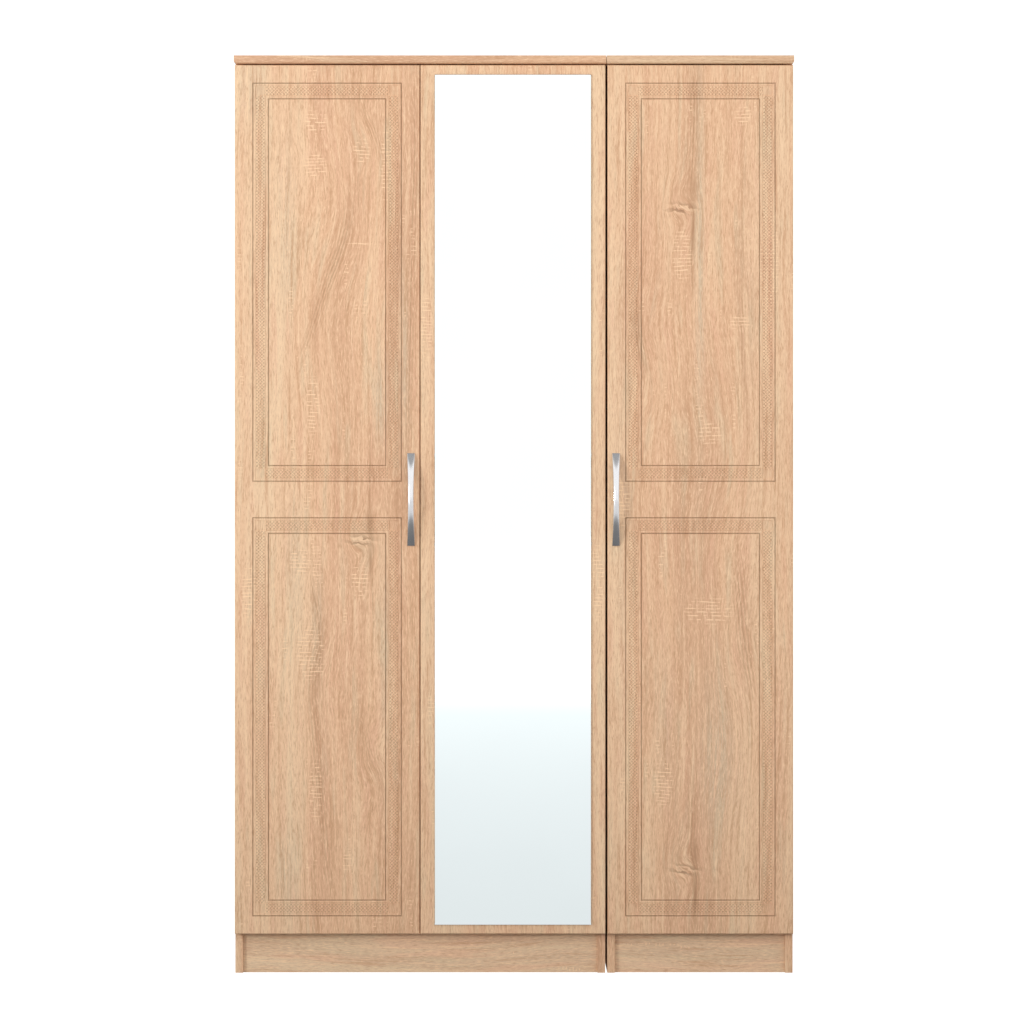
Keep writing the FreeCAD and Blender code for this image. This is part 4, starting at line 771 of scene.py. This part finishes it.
def apply_modifiers(piece):
    evaluated = piece.evaluated_get(bpy.context.evaluated_depsgraph_get())
    mesh = bpy.data.meshes.new_from_object(evaluated)
    piece.modifiers.clear()
    piece.data = mesh


def smooth(piece, angle=40):
    """Shades curved stretches smooth and keeps sharp edges."""
    mesh = piece.data
    for polygon in mesh.polygons:
        polygon.use_smooth = True
    mesh.set_sharp_from_angle(angle=math.radians(angle))


# Pieces

def door_look(node):
    """What all the oak of one framed door shares: its seed, its print and the corner that starts it."""
    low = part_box(node)[0]
    seed = 3.1 + 1.7 * list(FRAMED_DOORS).index(node)
    return {"seed": seed, "print_of": node, "corner": (low.x, low.z)}


class WARDROBE_OT_framed_doors(bpy.types.Operator):
    """Makes the two framed doors with grooves, bead and rounded edges"""

    bl_idname = "wardrobe.framed_doors"
    bl_label = "Framed doors"

    def execute(self, context):
        for node, body in FRAMED_DOORS.items():
            low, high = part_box(node)
            look = door_look(node)
            materials = [
                oak(f"oak {node}", **look),
                # The groove oak is darker, tone 0.66: painted shade in the V grooves.
                oak(f"oak shaded groove {node}", tone=0.66, saw=0.0, **look),
                # The band oak is a little darker, tone 0.96: painted shade in the sunken band's bare corners
                # and in its quirk.
                oak(f"oak shaded band {node}", tone=0.96, saw=0.6, **look),
            ]
            work = bmesh.new()
            block(work, low, high)
            self.shape(work, low, high)
            piece = new_piece(f"{node}_slab", work, materials, body)
            bore_back(piece, node, body)
            smooth(piece)
            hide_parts(node)
        return {"FINISHED"}

    def shape(self, work, low, high):
        size = sizes()
        work.normal_update()
        front = min(work.faces, key=lambda face: face.calc_center_median().y)
        middle = (low.z + high.z) / 2
        around = [front] + list(front.edges) + list(front.verts)
        bmesh.ops.bisect_plane(work, geom=around, plane_co=(0, 0, middle), plane_no=(0, 0, 1))
        work.normal_update()
        panels = [face for face in work.faces if face.normal.y < -0.9]
        for panel in panels:
            step(work, panel, size.frame_margin)
            groove(work, panel, size.groove_width, size.groove_depth, GROOVE_SHADE_OAK)
            step(work, panel, size.strip_width)
            step(work, panel, BAND_WALL, -size.band_depth)
            step(work, panel, size.band_width - 2 * BAND_WALL, 0, BAND_SHADE_OAK)
            step(work, panel, BAND_WALL, size.band_depth)
            groove(work, panel, QUIRK_WIDTH, QUIRK_DEPTH, BAND_SHADE_OAK)
            step(work, panel, BEAD_FLATS[0])
            bead(work, panel, size.bead_width - 2 * MM, BEAD_RISE)
            step(work, panel, BEAD_FLATS[1])
            groove(work, panel, size.groove_width, size.groove_depth, GROOVE_SHADE_OAK)
        rim = [
            edge for edge in work.edges
            if all(abs(vert.co.y - low.y) < TOUCHING for vert in edge.verts)
            and any(face.normal.y > -0.5 for face in edge.link_faces)
            and all(self.on_outline(vert, low, high) for vert in edge.verts)
        ]
        bmesh.ops.bevel(work, geom=rim, offset=size.edge_round, offset_type="OFFSET", segments=6,
                        profile=0.5, affect="EDGES", material=-1)

    @staticmethod
    def on_outline(vert, low, high):
        return any(abs(vert.co[i] - corner[i]) < TOUCHING for i in (0, 2) for corner in (low, high))


class WARDROBE_OT_lattice_bands(bpy.types.Operator):
    """Makes the lattice of crossed ribs in the framed doors' bands"""

    bl_idname = "wardrobe.lattice_bands"
    bl_label = "Lattice bands"

    def execute(self, context):
        size = sizes()
        inset = size.groove_width + size.strip_width + BAND_WALL
        width = size.band_width - 2 * BAND_WALL
        for node, body in FRAMED_DOORS.items():
            low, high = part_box(node)
            look = door_look(node)
            # The ribs' oak is lighter, tone 1.06, as a painted highlight on the ribs; the pits' oak is
            # darker, tone 0.83, as painted shade in the pits.
            materials = [
                oak(f"oak lit ribs {node}", tone=1.06, saw=0.6, **look),
                oak(f"oak shaded pits {node}", tone=0.83, saw=0.3, **look),
            ]
            work = bmesh.new()
            for left, right, base, top in band_rings(low, high):
                left, right, base, top = left + inset, right - inset, base + inset, top - inset
                lattice(work, (left + width, right - width, base, base + width), low.y)
                lattice(work, (left + width, right - width, top - width, top), low.y)
                lattice(work, (left, left + width, base + width, top - width), low.y)
                lattice(work, (right - width, right, base + width, top - width), low.y)
            piece = new_piece(f"{node}_lattice", work, materials, body)
        return {"FINISHED"}


def lattice(work, rectangle, face_y):
    """One straight band of diamond pits between crossed ribs, closed underneath."""
    size = sizes()
    left, right, base, top = rectangle
    wide = right - left
    tall = top - base
    cell = size.lattice_pitch / math.sqrt(2)
    count = int(max(wide, tall) * 1.5 / cell) + 4
    count += count % 2
    local = bmesh.new()
    bmesh.ops.create_grid(local, x_segments=count, y_segments=count, size=count * cell / 2)
    aslant = Matrix.Rotation(math.pi / 4, 3, "Z")
    bmesh.ops.rotate(local, verts=local.verts, cent=(0, 0, 0), matrix=aslant)
    for normal, reach in (((1, 0, 0), wide), ((-1, 0, 0), wide), ((0, 1, 0), tall), ((0, -1, 0), tall)):
        geometry = list(local.verts) + list(local.edges) + list(local.faces)
        bmesh.ops.bisect_plane(local, geom=geometry, dist=TOUCHING / 10, plane_co=Vector(normal) * reach / 2,
                               plane_no=normal, clear_outer=True)
    small = [face for face in local.faces if face.calc_area() < SLIVER_AREA]
    bmesh.ops.delete(local, geom=small, context="FACES")
    tops = list(local.faces)
    under = bmesh.ops.extrude_face_region(local, geom=tops, use_keep_orig=True)
    lifted = [item for item in under["geom"] if isinstance(item, bmesh.types.BMVert)]
    thickness = size.band_depth + 2 * LATTICE_LAP
    bmesh.ops.translate(local, verts=lifted, vec=(0, 0, thickness))
    local.normal_update()
    upper = [item for item in under["geom"] if isinstance(item, bmesh.types.BMFace)]
    bmesh.ops.inset_individual(local, faces=upper, thickness=size.rib_width / 2, use_even_offset=True)
    slopes = bmesh.ops.inset_individual(local, faces=upper, thickness=size.rib_width / 2,
                                        depth=-size.band_depth * 0.7, use_even_offset=True)
    # The pits' slopes and floors take the darker oak: painted shade in the pits.
    for face in slopes["faces"] + upper:
        face.material_index = 1
    upright = Matrix.Rotation(math.pi / 2, 3, "X")
    bmesh.ops.rotate(local, verts=local.verts, cent=(0, 0, 0), matrix=upright)
    centre = Vector(((left + right) / 2, face_y + size.band_depth + LATTICE_LAP, (base + top) / 2))
    bmesh.ops.translate(local, verts=local.verts, vec=centre)
    mesh = bpy.data.meshes.new("band")
    local.to_mesh(mesh)
    local.free()
    work.from_mesh(mesh)
    bpy.data.meshes.remove(mesh)


class WARDROBE_OT_tops(bpy.types.Operator):
    """Makes the tops with rounded lower edges, a fine chamfer above and eased upright corners"""

    bl_idname = "wardrobe.tops"
    bl_label = "Tops"

    def execute(self, context):
        for i, cabinet in enumerate(CABINETS):
            node = f"{cabinet}_top"
            materials = [
                oak(f"oak {node}", "X", seed=21.0 + i, tone=(0.98, 0.88)[i], saw=0.5),
                # The arris oak is much darker, tone 0.62: painted shade along the upper chamfer.
                oak(f"oak {node} shaded arris", "X", seed=21.0 + i, tone=0.62, saw=0.0),
            ]
            low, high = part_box(node)
            work = bmesh.new()
            block(work, low, high)
            self.shape(work, low, high, outer=-1 if i == 0 else 1)
            piece = new_piece(f"{node}_board", work, materials, "carcass")
            smooth(piece)
            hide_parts(node)
        return {"FINISHED"}

    def shape(self, work, low, high, outer):
        size = sizes()
        outside = low.x if outer < 0 else high.x

        def at_front(point):
            return point.y < low.y + TOUCHING

        def lower_rim(point):
            return point.z < low.z + TOUCHING and (at_front(point) or abs(point.x - outside) < TOUCHING)

        def upright_corner(point):
            aside = min(abs(point.x - low.x), abs(point.x - high.x))
            return low.z + TOUCHING < point.z < high.z + TOUCHING and at_front(point) and aside < TOUCHING

        def upper_front(point):
            return point.z > high.z - TOUCHING and point.y < low.y + 1 * MM

        soften(work, size.top_round, 6, lower_rim)
        soften(work, CORNER_EASING, 3, upright_corner)
        ring = soften(work, size.top_arris, 1, upper_front)
        # The chamfer's faces take the darker oak: painted shade along the top's upper front edge.
        for face in ring:
            face.material_index = 1


def soften(work, width, segments, chosen):
    """Bevels the edges whose ends both pass the test."""
    work.normal_update()
    edges = [
        edge for edge in work.edges
        if all(chosen(vert.co) for vert in edge.verts) and edge.calc_face_angle(0) > math.radians(30)
    ]
    result = bmesh.ops.bevel(work, geom=edges, offset=width, offset_type="OFFSET", segments=segments,
                             profile=0.5, affect="EDGES", clamp_overlap=True, material=-1)
    return result["faces"]


class WARDROBE_OT_handles(bpy.types.Operator):
    """Makes the waisted bow handles"""

    bl_idname = "wardrobe.handles"
    bl_label = "Bow handles"

    def execute(self, context):
        material = metal("satin nickel", tuple(colours().nickel), 0.15, "X", 0.05)
        for node, body in HANDLES.items():
            work = bmesh.new()
            self.shape(work, node)
            piece = new_piece(f"{node}_bow", work, [material], body)
            smooth(piece, 50)
            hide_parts(node)
        return {"FINISHED"}

    def shape(self, work, node):
        """A bar, divided and then bent: two arcs in side view, narrow in the middle."""
        size = sizes()
        low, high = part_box(node)
        centre = (low + high) / 2
        half = (high.z - low.z) / 2
        block(work, Vector((-1, -1, -1)), Vector((1, 1, 1)))
        lengthwise = [edge for edge in work.edges if abs(edge.verts[0].co.z - edge.verts[1].co.z) > 1]
        bmesh.ops.subdivide_edges(work, edges=lengthwise, cuts=63, use_grid_fill=True)
        crosswise = [edge for edge in work.edges if abs(edge.verts[0].co.x - edge.verts[1].co.x) > 1]
        bmesh.ops.subdivide_edges(work, edges=crosswise, cuts=9, use_grid_fill=True)
        wide = (high.x - low.x) / 2
        waist = size.handle_waist / 2
        outer = arc_over(half, size.handle_rise - HANDLE_TIP)
        inner = arc_over(HANDLE_FOOT, size.handle_clear)
        for vert in work.verts:
            across, facing, along = vert.co
            z = along * half
            x = across * (waist + (wide - waist) * along ** 2)
            if facing < 0:
                y = -(HANDLE_TIP + outer(z)) + size.handle_crown * across ** 2
            else:
                y = -max(0.0, inner(z))
            vert.co = Vector((centre.x + x, high.y + y, centre.z + z))
        work.normal_update()
        sharp = [edge for edge in work.edges if edge.calc_face_angle(0) > math.radians(50)]
        bmesh.ops.bevel(work, geom=sharp, offset=HANDLE_EASING, offset_type="OFFSET", segments=3,
                        profile=0.5, affect="EDGES", clamp_overlap=True, material=-1)


def arc_over(half_chord, rise):
    """Height of a circular arc above its chord, by the distance from the middle."""
    radius = (half_chord ** 2 + rise ** 2) / (2 * rise)

    def height(distance):
        return math.sqrt(max(radius ** 2 - distance ** 2, 0.0)) - (radius - rise)

    return height


# Finishes of the frame's own pieces

def dress(node, material):
    """Gives a CAD node its material."""
    mesh = frame["nodes"][node].data
    mesh.materials.clear()
    mesh.materials.append(material)


class WARDROBE_OT_cabinet_finish(bpy.types.Operator):
    """Puts sawn oak on the mirror's door and on the cabinets' boards, and fibre on their backs"""

    bl_idname = "wardrobe.cabinet_finish"
    bl_label = "Cabinet finish"

    def execute(self, context):
        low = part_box("mirror_door")[0]
        front = oak("oak mirror door", seed=9.3, print_of="mirror_door", corner=(low.x, low.z))
        dress("mirror_door", front)
        boards = oak("oak board", seed=14.2)
        back = hardboard("hardboard")
        for i, cabinet in enumerate(CABINETS):
            # The plinths' oak is lighter, tone 1.10: painted light for the light that reaches the plinths
            # under the doors; the olive cast is the boards' own colour.
            lit_plinth = oak(f"oak {cabinet} plinth", "X", seed=31.0 + 2 * i, tone=1.10, olive=0.5)
            dress(f"{cabinet}_plinth", lit_plinth)
            dress(f"{cabinet}_bottom", oak(f"oak {cabinet} bottom", "X", seed=41.0 + i))
            dress(f"{cabinet}_shelf", oak(f"oak {cabinet} shelf", "X", seed=51.0 + i))
            dress(f"{cabinet}_side_left", boards)
            dress(f"{cabinet}_side_right", boards)
            dress(f"{cabinet}_back", back)
        return {"FINISHED"}


class WARDROBE_OT_mirror(bpy.types.Operator):
    """Silvers the mirror and finishes its tape"""

    bl_idname = "wardrobe.mirror"
    bl_label = "Mirror"

    def execute(self, context):
        dress("mirror_glass", silvered_glass("silvered glass"))
        dress("mirror_tape", plastic("foam tape", (0.80, 0.80, 0.78), 0.8))
        return {"FINISHED"}


class WARDROBE_OT_hardware(bpy.types.Operator):
    """Finishes hinges, rails, fittings and fasteners"""

    bl_idname = "wardrobe.hardware"
    bl_label = "Hardware"

    def execute(self, context):
        nickel = metal("nickel-plated steel", (0.66, 0.66, 0.65), 0.30)
        chrome = metal("chromed tube", (0.80, 0.80, 0.82), 0.12, "X", 0.03)
        casting = metal("chromed casting", (0.72, 0.72, 0.74), 0.26)
        zinc = metal("zinc plate", (0.66, 0.68, 0.70), 0.38)
        pin = metal("turned steel", (0.56, 0.56, 0.56), 0.30, "Z")
        brown = plastic("brown plastic", (0.30, 0.19, 0.11), 0.5)
        grey = plastic("grey plastic", (0.16, 0.15, 0.15), 0.5)
        clear = plastic("soft bumper", (0.78, 0.79, 0.80), 0.3)
        beech = oak("beech dowel", "X", seed=61.0, tone=0.9, saw=0.0)
        for door in ("left", "mirror", "right"):
            for part in ("hinge_cups", "hinge_arms", "hinge_plates"):
                dress(f"{door}_{part}", nickel)
            dress(f"{door}_hinge_pins", pin)
            dress(f"{door}_cup_screws", zinc)
            dress(f"{door}_buffers", clear)
        for node in HANDLES:
            dress(f"{node}_screws", zinc)
        for cabinet in CABINETS:
            dress(f"{cabinet}_rail", chrome)
            dress(f"{cabinet}_rail_sockets", casting)
        for node in ("back_nails", "cam_bolts", "cam_locks", "hinge_arm_screws", "hinge_plate_screws",
                     "plinth_bracket_screws", "rail_socket_screws", "shelf_pegs", "unit_connector_bolts",
                     "unit_connector_sleeves"):
            dress(node, zinc)
        dress("plinth_brackets", brown)
        dress("unit_spacers", grey)
        dress("dowels", beech)
        return {"FINISHED"}


# Stage

class WARDROBE_OT_stage(bpy.types.Operator):
    """Builds the pale floor, the soft light and the camera"""

    bl_idname = "wardrobe.stage"
    bl_label = "Stage"

    def execute(self, context):
        self.floor()
        self.world()
        self.lights()
        self.camera()
        context.scene.view_settings.view_transform = "Standard"
        return {"FINISHED"}

    def floor(self):
        """A pale floor: white to the camera, dimmer towards the wardrobe for the light it gives."""
        work = bmesh.new()
        bmesh.ops.create_grid(work, x_segments=1, y_segments=1, size=FLOOR_HALF)
        mesh = bpy.data.meshes.new("floor")
        work.to_mesh(mesh)
        work.free()
        floor = bpy.data.objects.new("floor", mesh)
        bpy.context.scene.collection.objects.link(floor)
        tree = Tree(bpy.data.materials.new("floor"))
        from_middle = tree.vector("LENGTH", tree.place())["Value"]
        distance = tree.math("MAXIMUM", tree.math("SUBTRACT", from_middle, 0.2), 0.3)
        path = tree.nodes.new("ShaderNodeLightPath").outputs
        lit = self.floor_light(tree, distance, path["Is Glossy Ray"])
        mirrored = self.floor_in_mirror(tree, distance)
        difference = tree.math("SUBTRACT", mirrored, lit)
        glow = tree.math("MULTIPLY_ADD", difference, path["Is Singular Ray"], lit)
        emission = tree.nodes.new("ShaderNodeEmission")
        tree.links.new(self.white_to_camera(tree, glow), emission.inputs["Strength"])
        tree.links.new(emission.outputs[0], tree.nodes["Material Output"].inputs["Surface"])
        mesh.materials.append(tree.owner)

    def floor_light(self, tree, distance, glossy):
        """The light the floor gives: weak near the wardrobe and slowly stronger away from it."""
        far = tree.math("MULTIPLY_ADD", tree.math("LOGARITHM", distance, math.e), 0.034, 0.657)
        reach = tree.math("MULTIPLY_ADD", glossy, GLOSSY_REACH - NEAR_REACH, NEAR_REACH)
        near = tree.math("POWER", tree.math("DIVIDE", distance, reach), 6.0)
        near = tree.math("EXPONENT", tree.math("MULTIPLY", near, -1.0))
        dim = tree.math("MULTIPLY_ADD", near, -0.48, far)
        return tree.math("MULTIPLY", dim, FLOOR_LIGHT)

    def floor_in_mirror(self, tree, distance):
        """The floor's tone in the mirror: pale grey in front of the wardrobe and white far away."""
        nearer = tree.math("MINIMUM", distance, 9.2)
        rising = tree.math("MULTIPLY_ADD", nearer, 0.0235, 0.855)
        return tree.math("ADD", rising, tree.remap(distance, 9.3, 12.5, 0.0, 0.25))

    def white_to_camera(self, tree, glow):
        """The glow, and at least pure white where the camera sees it directly."""
        path = tree.nodes.new("ShaderNodeLightPath").outputs
        return tree.math("MAXIMUM", glow, tree.math("MULTIPLY", path["Is Camera Ray"], WHITE))

    def world(self):
        """An even white studio, a little darker to the sides and overhead than in front."""
        world = bpy.data.worlds.new("studio")
        tree = Tree(world)
        direction = tree.nodes.new("ShaderNodeTexCoord").outputs["Generated"]
        aside, _, height = tree.split(direction)
        side_light = STUDIO_LIGHT * SIDE_DIMMING
        level = tree.remap(tree.math("ABSOLUTE", aside), 0.65, 0.95, STUDIO_LIGHT, side_light)
        overhead = tree.remap(height, 0.60, 0.74, 1.0, OVERHEAD_DIMMING)
        glow = tree.math("MULTIPLY", level, overhead)
        background = tree.nodes["Background"]
        background.inputs["Color"].default_value = (1, 1, 1, 1)
        tree.links.new(self.white_to_camera(tree, glow), background.inputs["Strength"])
        bpy.context.scene.world = world

    def lights(self):
        front = CAD_BOX[0][1]
        light = bpy.data.lights.new("key", "AREA")
        light.shape = "RECTANGLE"
        light.size = KEY_WIDTH
        light.size_y = KEY_WIDTH
        light.energy = KEY_WATTS
        lamp = bpy.data.objects.new("key", light)
        lamp.location = (-5.0, front - 5.0, 1.5)
        aim = Vector((0, front, 1.15)) - lamp.location
        lamp.rotation_euler = aim.to_track_quat("-Z", "Y").to_euler()
        bpy.context.scene.collection.objects.link(lamp)

    def camera(self):
        door_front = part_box("left_door")[0].y
        camera = bpy.data.cameras.new("camera")
        camera.sensor_width = 36
        camera.lens = CAMERA_LENS
        camera.clip_end = 2 * FLOOR_HALF
        stand = bpy.data.objects.new("camera", camera)
        stand.location = (0, door_front - CAMERA_DISTANCE, CAMERA_HEIGHT)
        stand.rotation_euler = (math.radians(90), 0, 0)
        bpy.context.scene.collection.objects.link(stand)
        bpy.context.scene.camera = stand


class WARDROBE_PT_panel(bpy.types.Panel):
    """Lists the wardrobe's pieces and settings"""

    bl_idname = "WARDROBE_PT_panel"
    bl_label = "Wardrobe"
    bl_space_type = "VIEW_3D"
    bl_region_type = "UI"
    bl_category = "Wardrobe"

    def draw(self, context):
        layout = self.layout
        for operator in OPERATORS:
            layout.operator(operator.bl_idname)
        for group in (context.scene.wardrobe_sizes, context.scene.wardrobe_colours):
            box = layout.box()
            for name in group.__annotations__:
                box.prop(group, name)


OPERATORS = (
    WARDROBE_OT_framed_doors,
    WARDROBE_OT_lattice_bands,
    WARDROBE_OT_tops,
    WARDROBE_OT_handles,
    WARDROBE_OT_cabinet_finish,
    WARDROBE_OT_mirror,
    WARDROBE_OT_hardware,
    WARDROBE_OT_stage,
)
CLASSES = (WardrobeSizes, WardrobeColours, *OPERATORS, WARDROBE_PT_panel)


def register():
    for item in CLASSES:
        bpy.utils.register_class(item)
    bpy.types.Scene.wardrobe_sizes = bpy.props.PointerProperty(type=WardrobeSizes)
    bpy.types.Scene.wardrobe_colours = bpy.props.PointerProperty(type=WardrobeColours)


def unregister():
    del bpy.types.Scene.wardrobe_colours
    del bpy.types.Scene.wardrobe_sizes
    for item in reversed(CLASSES):
        bpy.utils.unregister_class(item)


def main():
    register()
    bpy.ops.wardrobe.framed_doors()
    bpy.ops.wardrobe.lattice_bands()
    bpy.ops.wardrobe.tops()
    bpy.ops.wardrobe.handles()
    bpy.ops.wardrobe.cabinet_finish()
    bpy.ops.wardrobe.mirror()
    bpy.ops.wardrobe.hardware()
    bpy.ops.wardrobe.stage()


if __name__ == "__main__":
    main()
